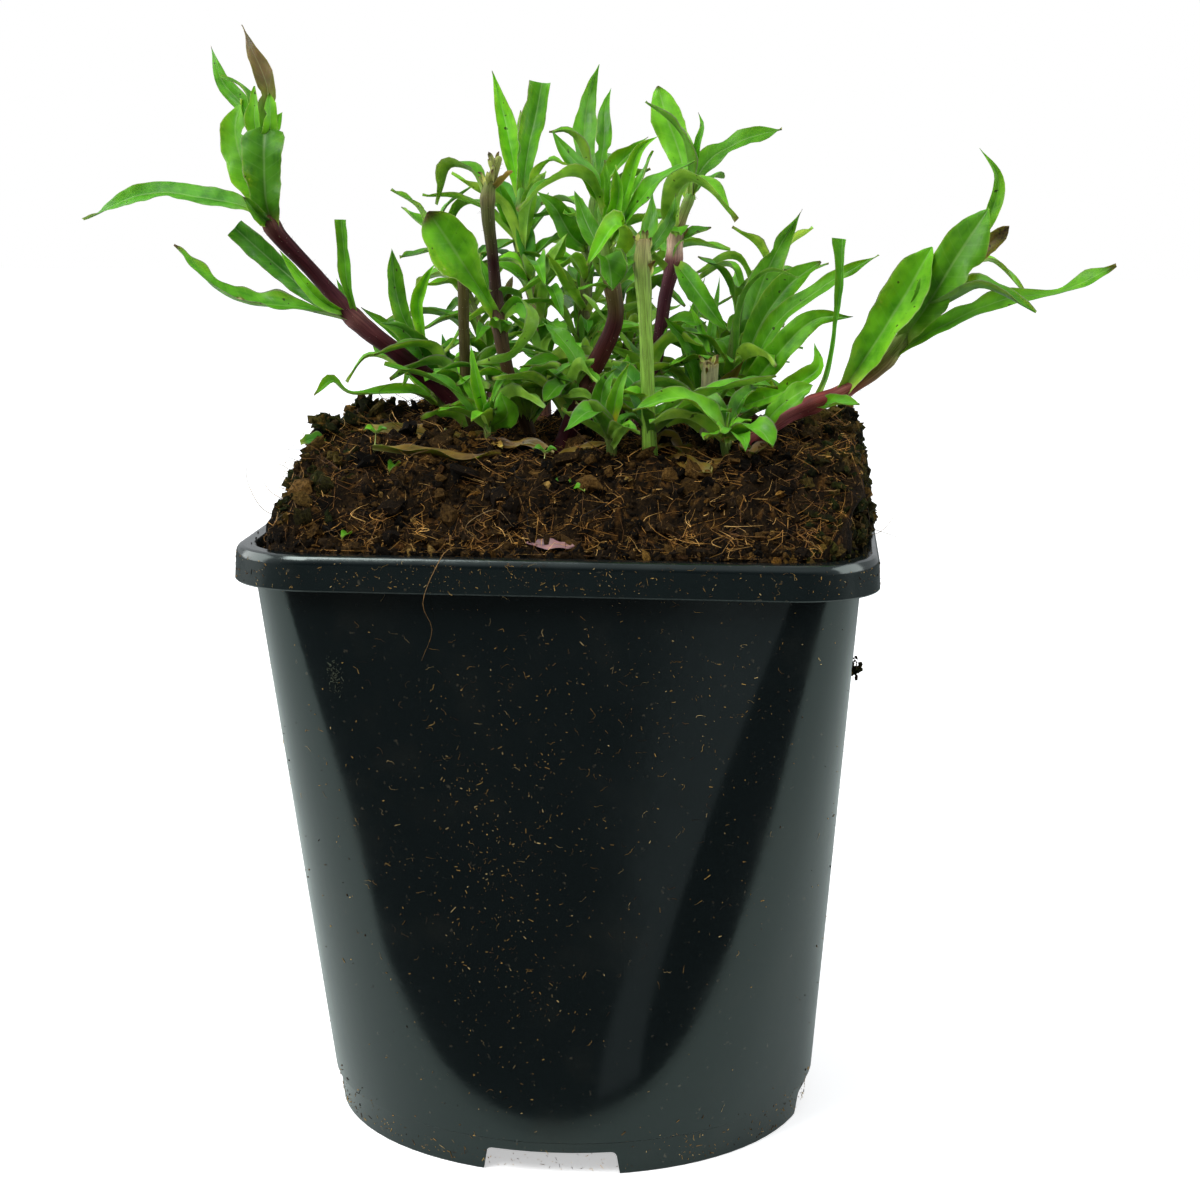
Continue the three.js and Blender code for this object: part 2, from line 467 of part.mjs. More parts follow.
// One level ring of a square with round corners, or a circle where the corner is the half width
function squareRing(half, corner, z) {
  const points = [];
  for (let quarter = 0; quarter < 4; quarter += 1) {
    for (let step = 0; step <= CORNER_STEPS; step += 1) {
      const angle = ((quarter + step / CORNER_STEPS) * Math.PI) / 2;
      const turn = ((quarter + 0.5) * Math.PI) / 2;
      const reach = (half - corner) * Math.SQRT2;
      points.push(new THREE.Vector3(
        reach * Math.cos(turn) + corner * Math.cos(angle),
        reach * Math.sin(turn) + corner * Math.sin(angle),
        z,
      ));
    }
  }
  return points;
}

// The pot's wall is a circle at the foot step and a square with round corners at the neck
const NECK_Z = POT_HEIGHT - RIM_DROP;
const CORNER_OVERLAP = 0.04;

function wallAt(z, inset) {
  const share = (z - FOOT_STEP) / (NECK_Z - FOOT_STEP);
  const half = mix(FOOT_RADIUS + FOOT_INSET, NECK_WIDTH / 2, share) - inset;
  const corner = mix(FOOT_RADIUS + FOOT_INSET, NECK_CORNER, share) - inset;
  return { half, corner: Math.min(corner, half - CORNER_OVERLAP) };
}

function wallRing(z, inset) {
  const { half, corner } = wallAt(z, inset);
  return squareRing(half, corner, z);
}

function circleRing(radius, z) {
  return squareRing(radius, radius - CORNER_OVERLAP, z);
}

function wallRings(from, to, inset) {
  return Array.from({ length: WALL_RINGS + 1 }, (_, i) => wallRing(mix(from, to, i / WALL_RINGS), inset));
}

function potBody() {
  const rimHalf = RIM_WIDTH / 2;
  const footInner = FOOT_RADIUS - WALL - 0.2;
  return loft([
    circleRing(footInner - 0.6, FLOOR_UNDERSIDE),
    circleRing(footInner, 0),
    circleRing(FOOT_RADIUS - FOOT_INSET, 0),
    circleRing(FOOT_RADIUS, FOOT_STEP - 0.3),
    ...wallRings(FOOT_STEP, NECK_Z, 0),
    wallRing(POT_HEIGHT - RIM_SKIN, 0),
    squareRing(rimHalf - RIM_SKIN, RIM_CORNER - RIM_SKIN, POT_HEIGHT - RIM_SKIN),
    squareRing(rimHalf - RIM_SKIN + RIM_FLARE, RIM_CORNER - RIM_SKIN, NECK_Z),
    squareRing(rimHalf + RIM_FLARE, RIM_CORNER, NECK_Z),
    squareRing(rimHalf, RIM_CORNER, POT_HEIGHT - 0.7),
    squareRing(rimHalf - 0.6, RIM_CORNER - 0.6, POT_HEIGHT),
    squareRing(NECK_WIDTH / 2 + 0.2, NECK_CORNER + 0.2, POT_HEIGHT),
    wallRing(POT_HEIGHT - 1.4, WALL),
    ...wallRings(NECK_Z, FLOOR_TOP + 0.8, WALL),
    circleRing(footInner - 1.2, FLOOR_TOP),
  ]);
}

// A notch lets water out under the foot, below the middle of each flat
function notchCutter(angle) {
  const half = NOTCH_WIDTH / 2;
  const outline = new THREE.Shape();
  outline.moveTo(-half - NOTCH_FLARE, -1);
  outline.lineTo(half + NOTCH_FLARE, -1);
  outline.lineTo(half, NOTCH_HEIGHT - 1);
  outline.lineTo(half - 1, NOTCH_HEIGHT);
  outline.lineTo(1 - half, NOTCH_HEIGHT);
  outline.lineTo(-half, NOTCH_HEIGHT - 1);
  const cutter = new THREE.ExtrudeGeometry(outline, { depth: 20, bevelEnabled: false });
  cutter.rotateX(Math.PI / 2);
  cutter.translate(0, -FOOT_RADIUS + 14, 0);
  cutter.rotateZ(angle);
  return solidOf(cutter);
}

function drainCutters() {
  const cutters = [];
  for (let i = 0; i < 4; i += 1) {
    const slot = new THREE.BoxGeometry(DRAIN_SLOT.long, DRAIN_SLOT.wide, 10);
    slot.translate(0, DRAIN_SLOT.radius, FLOOR_TOP);
    slot.rotateZ((i * Math.PI) / 2);
    cutters.push(solidOf(slot));
  }
  for (let i = 0; i < DRAIN_HOLE.count; i += 1) {
    const hole = new THREE.CylinderGeometry(DRAIN_HOLE.radius, DRAIN_HOLE.radius, 10, 12);
    hole.rotateX(Math.PI / 2);
    hole.translate(DRAIN_HOLE.ring, 0, FLOOR_TOP);
    hole.rotateZ(((i + 0.5) * 2 * Math.PI) / DRAIN_HOLE.count);
    cutters.push(solidOf(hole));
  }
  return cutters;
}

function pot() {
  const notches = [0, 1, 2, 3].map((i) => notchCutter((i * Math.PI) / 2));
  return [...notches, ...drainCutters()].reduce((body, cutter) => body.subtract(cutter), potBody());
}

// Smooth hills and hollows over a lattice of random heights
const BUMP_LATTICE = (() => {
  const random = randomFrom(2024);
  return Array.from({ length: 256 }, () => random() * 2 - 1);
})();

function bump(x, y, size) {
  const u = x / size + 40;
  const v = y / size + 40;
  const i = Math.floor(u);
  const j = Math.floor(v);
  const ease = (t) => t * t * (3 - 2 * t);
  const at = (a, b) => BUMP_LATTICE[(a * 73 + b * 151) & 255];
  const low = mix(at(i, j), at(i + 1, j), ease(u - i));
  const high = mix(at(i, j + 1), at(i + 1, j + 1), ease(u - i));
  return mix(low, high, ease(v - j));
}

// The mound rises from each side of the pot and stands proud of the rim
function soilHeight(x, y) {
  const rise = (distance, slope) => 1 - Math.exp(-((Math.max(distance, 0) / slope) ** 1.6));
  const mound = rise(x - SOIL_SPREAD.left, SOIL_SLOPE.left) * rise(SOIL_SPREAD.right - x, SOIL_SLOPE.right)
    * rise(y - SOIL_SPREAD.front, SOIL_SLOPE.front) * rise(SOIL_SPREAD.back - y, SOIL_SLOPE.back);
  const rough = SOIL_BUMP.coarse * bump(x, y, 7) + SOIL_BUMP.fine * bump(x + 3, y - 5, 3.4);
  const clumps = SOIL_CLUMPS.reduce((sum, clump) => {
    const away = ((x - clump.x) ** 2 + (y - clump.y) ** 2) / clump.radius ** 2;
    return sum + clump.rise * Math.exp(-away);
  }, 0);
  return SOIL_EDGE + SOIL_RISE * mound + (rough + clumps) * (0.25 + 0.75 * mound);
}

// One level ring of a square with round corners, its points at even angles round the axis
function evenRing(half, corner, z) {
  return Array.from({ length: SOIL_SPOKES }, (_, i) => {
    const angle = (i * 2 * Math.PI) / SOIL_SPOKES;
    const way = [Math.cos(angle), Math.sin(angle)];
    const [long, short] = [Math.max(...way.map(Math.abs)), Math.min(...way.map(Math.abs))];
    const centre = half - corner;
    const lean = centre * (long + short);
    const onFlat = (half * short) / long <= centre;
    const toCorner = lean + Math.sqrt(lean * lean - 2 * centre * centre + corner * corner);
    const reach = onFlat ? half / long : toCorner;
    return new THREE.Vector3(way[0] * reach, way[1] * reach, z);
  });
}

// The soil's outline at its surface, shrunk towards the axis and sunk a little. On the right it bulges
// out over the rim's shelf.
function moundRing(share, sink, bulge) {
  return evenRing(SOIL_HALF, SOIL_CORNER, 0).map((point) => {
    const side = Math.abs(Math.atan2(point.y, point.x)) / SOIL_BULGE.angle;
    const out = Math.max(0, 1 - side ** 4);
    const x = (point.x + bulge * SOIL_BULGE.width * out) * share;
    const y = point.y * share;
    const shelf = out > 0 && share > 1 - SOIL_BULGE.width / SOIL_HALF ? POT_HEIGHT + GAP + 3 * SOIL_LIP : 0;
    return new THREE.Vector3(x, y, Math.max(soilHeight(x, y), shelf) - sink);
  });
}

// The soil fills the pot and stands proud of its rim
function soilBody() {
  const plugInset = WALL + GAP + CHORD_ALLOWANCE;
  const plugRing = (z) => {
    const { half, corner } = wallAt(z, plugInset);
    return evenRing(half, corner, z);
  };
  const [lowest, highest] = [FLOOR_TOP + 2, NECK_Z + 2];
  const depths = Array.from({ length: WALL_RINGS + 1 }, (_, i) => mix(lowest, highest, i / WALL_RINGS));
  const tops = Array.from({ length: SOIL_RINGS }, (_, i) => 1 - (i / SOIL_RINGS) ** 0.85);
  const base = wallAt(FLOOR_TOP + 1, plugInset).half - 1.5;
  return loft([
    evenRing(base, base - CORNER_OVERLAP, FLOOR_TOP + GAP),
    ...depths.map(plugRing),
    moundRing(1, 3 * SOIL_LIP, 0),
    moundRing(1, 2 * SOIL_LIP, 1),
    ...tops.map((share) => moundRing(share, 0, 1)),
  ]);
}

function curveThrough(points) {
  return new THREE.CatmullRomCurve3(points.map((p) => new THREE.Vector3(...p)), false, 'catmullrom', 0.5);
}

function tangents(points) {
  return points.map((_, i) => {
    const next = points[Math.min(i + 1, points.length - 1)];
    const last = points[Math.max(i - 1, 0)];
    return next.clone().sub(last).normalize();
  });
}

function across(vector, tangent) {
  return vector.clone().addScaledVector(tangent, -vector.dot(tangent)).normalize();
}

// A round stem with the radius of each of its points, made wider all round and deeper for the hole it
// stands in
function stemSolid(stem, radii, wider = 0) {
  const [foot, ...rest] = stem;
  const curve = curveThrough([[foot[0], foot[1], foot[2] - wider], ...rest]);
  const steps = Math.max(3, Math.round(curve.getLength() / STEM_STEP));
  const points = curve.getSpacedPoints(steps);
  const ways = tangents(points);
  let side = across(new THREE.Vector3(0, -1, 0), ways[0]);
  const rings = points.map((point, i) => {
    side = across(side, ways[i]);
    const other = ways[i].clone().cross(side);
    const radius = along(radii, curve.getUtoTmapping(i / steps)) + wider;
    return Array.from({ length: STEM_SIDES }, (_, j) => {
      const angle = (j * 2 * Math.PI) / STEM_SIDES;
      return point.clone()
        .addScaledVector(side, radius * Math.cos(angle))
        .addScaledVector(other, radius * Math.sin(angle));
    });
  });
  return loft(rings);
}

// The upper side's direction at each station, carried along from where the face is most square to the rib
function upperSides(ways, face) {
  const look = new THREE.Vector3(...face).normalize();
  const slant = ways.map((way) => Math.abs(way.dot(look)));
  const start = slant.indexOf(Math.min(...slant));
  const sides = [];
  sides[start] = across(look, ways[start]);
  for (let i = start + 1; i < ways.length; i += 1) {
    sides[i] = across(sides[i - 1], ways[i]);
  }
  for (let i = start - 1; i >= 0; i -= 1) {
    sides[i] = across(sides[i + 1], ways[i]);
  }
  return sides;
}

// A channelled blade with a thick rib and waved edges, from a share of its length to the tip
function bladeSolid({ rib, wide, face, form }, { wider = 0, from = 0 } = {}) {
  const curve = curveThrough(rib);
  const length = curve.getLength();
  const { least, most } = BLADE_STATIONS;
  const steps = Math.min(Math.max(Math.round(length / BLADE_STEP), least), most);
  const points = curve.getSpacedPoints(steps);
  const ways = tangents(points);
  const uppers = upperSides(ways, face);
  const thick = RIB_THICKNESS.base + RIB_THICKNESS.perWidth * wide;
  const rings = [];
  points.forEach((point, i) => {
    const share = i / steps;
    if (share < from) {
      return;
    }
    const half = (wide * along(FORMS[form], share)) / 2 + wider;
    const depth = (thick * (1 - 0.35 * share)) / 2 + wider;
    const fold = half * BLADE_FOLD;
    const turn = 2 * Math.PI * EDGE_WAVES * share + length;
    const wave = Math.min(share * 4, 1) * EDGE_WAVE * wide * Math.sin(turn);
    const sideways = ways[i].clone().cross(uppers[i]);
    const place = (side, up) => point.clone()
      .addScaledVector(sideways, side)
      .addScaledVector(uppers[i], up);
    rings.push([place(-half, fold + wave), place(0, depth), place(half, fold - wave), place(0, -depth)]);
  });
  return loft(rings);
}

// A leaf's rib bent a little, in depth for a leaf that the front shows and round its root for the others
function bentRib(rib, bend, turns) {
  const root = rib[0];
  return rib.map(([x, y, z], i) => {
    const share = i / (rib.length - 1);
    if (!turns) {
      return [x, y + bend * share, z];
    }
    const angle = (bend * Math.PI) / 180;
    const dx = x - root[0];
    const dy = y - root[1];
    return [
      root[0] + dx * Math.cos(angle) - dy * Math.sin(angle),
      root[1] + dx * Math.sin(angle) + dy * Math.cos(angle),
      z,
    ];
  });
}

// A leaf that grows out from a point of the stem at a compass angle, rising first and then arching over
function ruleLeaf(root, angle, length, wide, rise, droop, form) {
  const [x, y, z] = root;
  const half = length / 2;
  const mid = [
    x + Math.cos(angle) * half * Math.cos(rise),
    y + Math.sin(angle) * half * Math.cos(rise),
    z + half * Math.sin(rise),
  ];
  const tip = [
    mid[0] + Math.cos(angle) * half * Math.cos(droop),
    mid[1] + Math.sin(angle) * half * Math.cos(droop),
    mid[2] + half * Math.sin(droop),
  ];
  return { ...leaf([root, mid, tip], wide, UP, form), turns: true };
}

const GOLDEN_ANGLE = 2.39996;

function basalLeaves({ stem, basal }) {
  const random = randomFrom(basal.seed);
  const crown = stem.find((point) => point[2] > REAR_SOIL_Z - 1);
  const start = random() * 2 * Math.PI;
  return Array.from({ length: basal.count }, (_, i) => {
    const root = [crown[0], crown[1], Math.max(crown[2], REAR_SOIL_Z) + BASAL_LEAF.above * random()];
    return ruleLeaf(
      root,
      start + i * GOLDEN_ANGLE,
      mix(...BASAL_LEAF.length, random()),
      mix(...BASAL_LEAF.wide, random()),
      mix(...BASAL_LEAF.rise, random()),
      mix(...BASAL_LEAF.droop, random()),
      random() < BASAL_LEAF.lances ? 'lance' : 'strap',
    );
  });
}

function rearShoot({ name, foot, lean, height, pairs, seed, basal }) {
  const random = randomFrom(seed);
  const [x, y] = foot;
  const at = (share) => [
    x + lean[0] * share * share,
    y + lean[1] * share * share,
    REAR_SOIL_Z + height * share,
  ];
  const stem = [[x, y, REAR_ROOT_Z], [x, y, REAR_SOIL_Z], at(0.35), at(0.7), at(1)];
  const leaves = [];
  for (let pair = 0; pair < pairs; pair += 1) {
    const share = (pair + 1) / pairs;
    const turn = pair * (Math.PI / 2) + random() * 0.5;
    const size = PAIR_LEAF.shrink ** pair;
    for (const side of [0, Math.PI]) {
      leaves.push(ruleLeaf(at(share), turn + side, PAIR_LEAF.length * size * mix(0.85, 1.15, random()),
        PAIR_LEAF.wide * size, PAIR_LEAF.rise + 0.2 * pair, PAIR_LEAF.droop + 0.35 * pair, 'lance'));
    }
  }
  return { name, stem, radii: [1.7, 1.7, 1.4, 1.3, 0.8], leaves, basal };
}

function boxesMeet(a, b) {
  return [0, 1, 2].every((k) => a.min[k] < b.max[k] && b.min[k] < a.max[k]);
}

function meets(solid, others) {
  const box = solid.boundingBox();
  return others.some((other) => boxesMeet(box, other.box) && solid.intersect(other.solid).volume() > 1e-4);
}

function obstacle(solid) {
  return { solid, box: solid.boundingBox() };
}

// Every leaf is bent clear of the soil, the rim and the other shoots, and where it can be of its own
// shoot too. A leaf with no clear place is left off.
function growLeaves(shoots, ground) {
  const stems = shoots.map((shoot) => obstacle(stemSolid(shoot.stem, shoot.radii)));
  const grown = shoots.map(() => ({ blades: [], free: [] }));
  const place = (item, home) => {
    const bends = item.turns ? TURN_BENDS : DEPTH_BENDS;
    const others = [...ground];
    shoots.forEach((_, i) => {
      if (i !== home) {
        others.push(stems[i], ...grown[i].blades);
      }
    });
    const own = [stems[home], ...grown[home].free];
    const clear = bends
      .map((bend) => ({ ...item, rib: bentRib(item.rib, bend, item.turns) }))
      .filter((bent) => !meets(bladeSolid(bent, { wider: BLADE_CLEARANCE }), others));
    const chosen = clear.find((bent) => !meets(bladeSolid(bent, { from: FREE_FROM }), own)) ?? clear[0];
    if (chosen) {
      grown[home].blades.push(obstacle(bladeSolid(chosen)));
      grown[home].free.push(obstacle(bladeSolid(chosen, { from: FREE_FROM })));
    }
  };
  shoots.forEach((shoot, i) => shoot.leaves.forEach((item) => place(item, i)));
  shoots.forEach((shoot, i) => basalLeaves(shoot).forEach((item) => place(item, i)));
  return shoots.map((shoot, i) => ({
    ...shoot,
    solid: grown[i].blades.reduce((body, blade) => body.add(blade.solid), stems[i].solid),
  }));
}

// A dead leaf lies on the soil at the foot of the plant, carried by the highest bumps under it
function fallenLeaf() {
  const { route, wide, lift } = FALLEN_LEAF;
  const highest = (x, y) => Math.max(...[-wide / 2, 0, wide / 2].map((dy) => soilHeight(x, y + dy)));
  const rib = route.map(([x, y]) => [x, y, highest(x, y) + lift]);
  return bladeSolid(leaf(rib, wide, UP, 'lance'));
}

const plant = new THREE.Group();
const potSolid = pot();
const soilWhole = soilBody();
const fallen = fallenLeaf();
const shoots = growLeaves(
  [...SHOOTS, ...REAR_SHOOTS.map(rearShoot)],
  [obstacle(soilWhole), obstacle(potSolid), obstacle(fallen)],
);
const soilSolid = shoots.reduce(
  (body, shoot) => body.subtract(stemSolid(shoot.stem, shoot.radii, HOLE_CLEARANCE)),
  soilWhole,
);

plant.add(meshFrom('pot', potSolid, PLASTIC));
plant.add(meshFrom('soil', soilSolid, PEAT));
plant.add(meshFrom('fallen_leaf', fallen, DEAD_LEAF));
for (const shoot of shoots) {
  plant.add(meshFrom(shoot.name, shoot.solid, shoot.material ?? LEAF_GREEN));
}

export default plant;
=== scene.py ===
"""Potted ragged robin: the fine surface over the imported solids.

The tables hold sizes in millimetres, and every finished mesh is in metres. -Y is the front.
"""

import sys
import logging
import math
import random
from bisect import bisect_right
from dataclasses import dataclass, replace
from enum import Enum
from functools import partial
from typing import Callable, Iterator, Sequence

import bmesh
import bpy
from mathutils import Matrix, Vector, noise
from mathutils.bvhtree import BVHTree


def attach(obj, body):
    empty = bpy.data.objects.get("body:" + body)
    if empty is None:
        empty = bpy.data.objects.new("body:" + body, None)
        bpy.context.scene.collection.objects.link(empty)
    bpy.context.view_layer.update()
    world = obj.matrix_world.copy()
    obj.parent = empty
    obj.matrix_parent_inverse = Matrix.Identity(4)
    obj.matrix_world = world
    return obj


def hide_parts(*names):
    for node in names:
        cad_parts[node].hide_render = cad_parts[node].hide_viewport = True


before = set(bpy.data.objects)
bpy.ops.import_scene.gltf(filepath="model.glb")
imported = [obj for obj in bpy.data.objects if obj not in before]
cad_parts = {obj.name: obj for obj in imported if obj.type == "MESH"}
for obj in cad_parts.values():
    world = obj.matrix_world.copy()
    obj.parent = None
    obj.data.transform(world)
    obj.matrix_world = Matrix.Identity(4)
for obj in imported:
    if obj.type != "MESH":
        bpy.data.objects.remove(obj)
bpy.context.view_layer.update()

LOG = logging.getLogger("ragged_robin")
MM = 0.001
TURN = 2 * math.pi
BODY = "root"

Point = tuple[float, float, float]
Rgb = tuple[float, float, float]

UP: Point = (0, 0, 1)
FRONT: Point = (0, -1, 0.15)
FRONT_UP: Point = (0, -0.7, 0.7)


class Form(Enum):
    """A leaf's width at equal steps from root to tip, as a share of its full width."""

    LANCE = (0.34, 0.6, 0.88, 1, 0.86, 0.52, 0.07)
    STRAP = (0.5, 0.8, 1, 0.97, 0.9, 0.72, 0.2)
    BLUNT = (0.34, 0.5, 0.75, 0.96, 1, 0.85, 0.4)
    SPOON = (0.3, 0.3, 0.42, 0.8, 1, 0.62, 0.24, 0.12)
    CUT = (0.36, 0.5, 0.72, 0.88, 1, 0.97, 0.9)
    FORK = (0.36, 0.3, 0.3, 0.33, 0.4, 0.6, 1)
    WAIST = (0.3, 0.5, 0.78, 0.9, 0.75, 0.5, 0.38, 0.74, 0.16)
    LOBED = (0.36, 0.5, 0.72, 0.88, 1, 1, 0.94)
    PADDLE = (0.26, 0.26, 0.36, 0.72, 1, 0.94, 0.62)

    @property
    def snipped(self) -> bool:
        """Whether the leaf ends in a straight cut."""
        return self in (Form.CUT, Form.FORK)


class Tint(Enum):
    """A leaf's upper and lower colour."""

    GREEN = ("#498c1c", "#70a042")
    YOUNG = ("#64ad2c", "#8cb84e")
    DARK = ("#35751e", "#5a903e")
    PURPLE = ("#5c4c3c", "#776a54")
    DRY = ("#8c7440", "#7f6b40")
    FADED = ("#6e5a2c", "#5e4f2e")
    PALE = ("#9fae70", "#a9b47c")


LANCE, STRAP, BLUNT, SPOON, CUT, FORK, WAIST, LOBED, PADDLE = Form
GREEN, YOUNG, DARK, PURPLE, DRY, FADED, PALE = Tint


@dataclass(frozen=True)
class Leaf:
    """One leaf of a shoot.

    Args:
        rib: the points that the rib passes, from the stem's middle to the tip.
        wide: the full width.
        face: the way the upper side looks.
        form: the outline.
        tint: the colours.
        sere: the share of the length that is brown, from the tip.
        turns: whether the leaf is bent clear round its root, and not in depth.
        hole: a bitten hole's share of the length and place across.
        stain: whether one side of its base is yellow and brown.
    """

    rib: tuple[Point, ...]
    wide: float
    face: Point
    form: Form
    tint: Tint = GREEN
    sere: float = 0.0
    turns: bool = False
    hole: tuple[float, float] | None = None
    stain: bool = False


@dataclass(frozen=True)
class Basal:
    """The leaves that a shoot grows by rule at the soil: how many, and their random seed."""

    count: int
    seed: int


@dataclass(frozen=True)
class Shoot:
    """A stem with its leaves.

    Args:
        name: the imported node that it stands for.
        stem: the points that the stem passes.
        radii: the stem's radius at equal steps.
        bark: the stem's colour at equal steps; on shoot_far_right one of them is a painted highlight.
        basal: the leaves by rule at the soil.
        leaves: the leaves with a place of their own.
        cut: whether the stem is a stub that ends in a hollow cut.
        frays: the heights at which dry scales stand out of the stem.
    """

    name: str
    stem: tuple[Point, ...]
    radii: tuple[float, ...]
    bark: tuple[str, ...]
    basal: Basal
    leaves: tuple[Leaf, ...] = ()
    cut: bool = False
    frays: tuple[float, ...] = ()


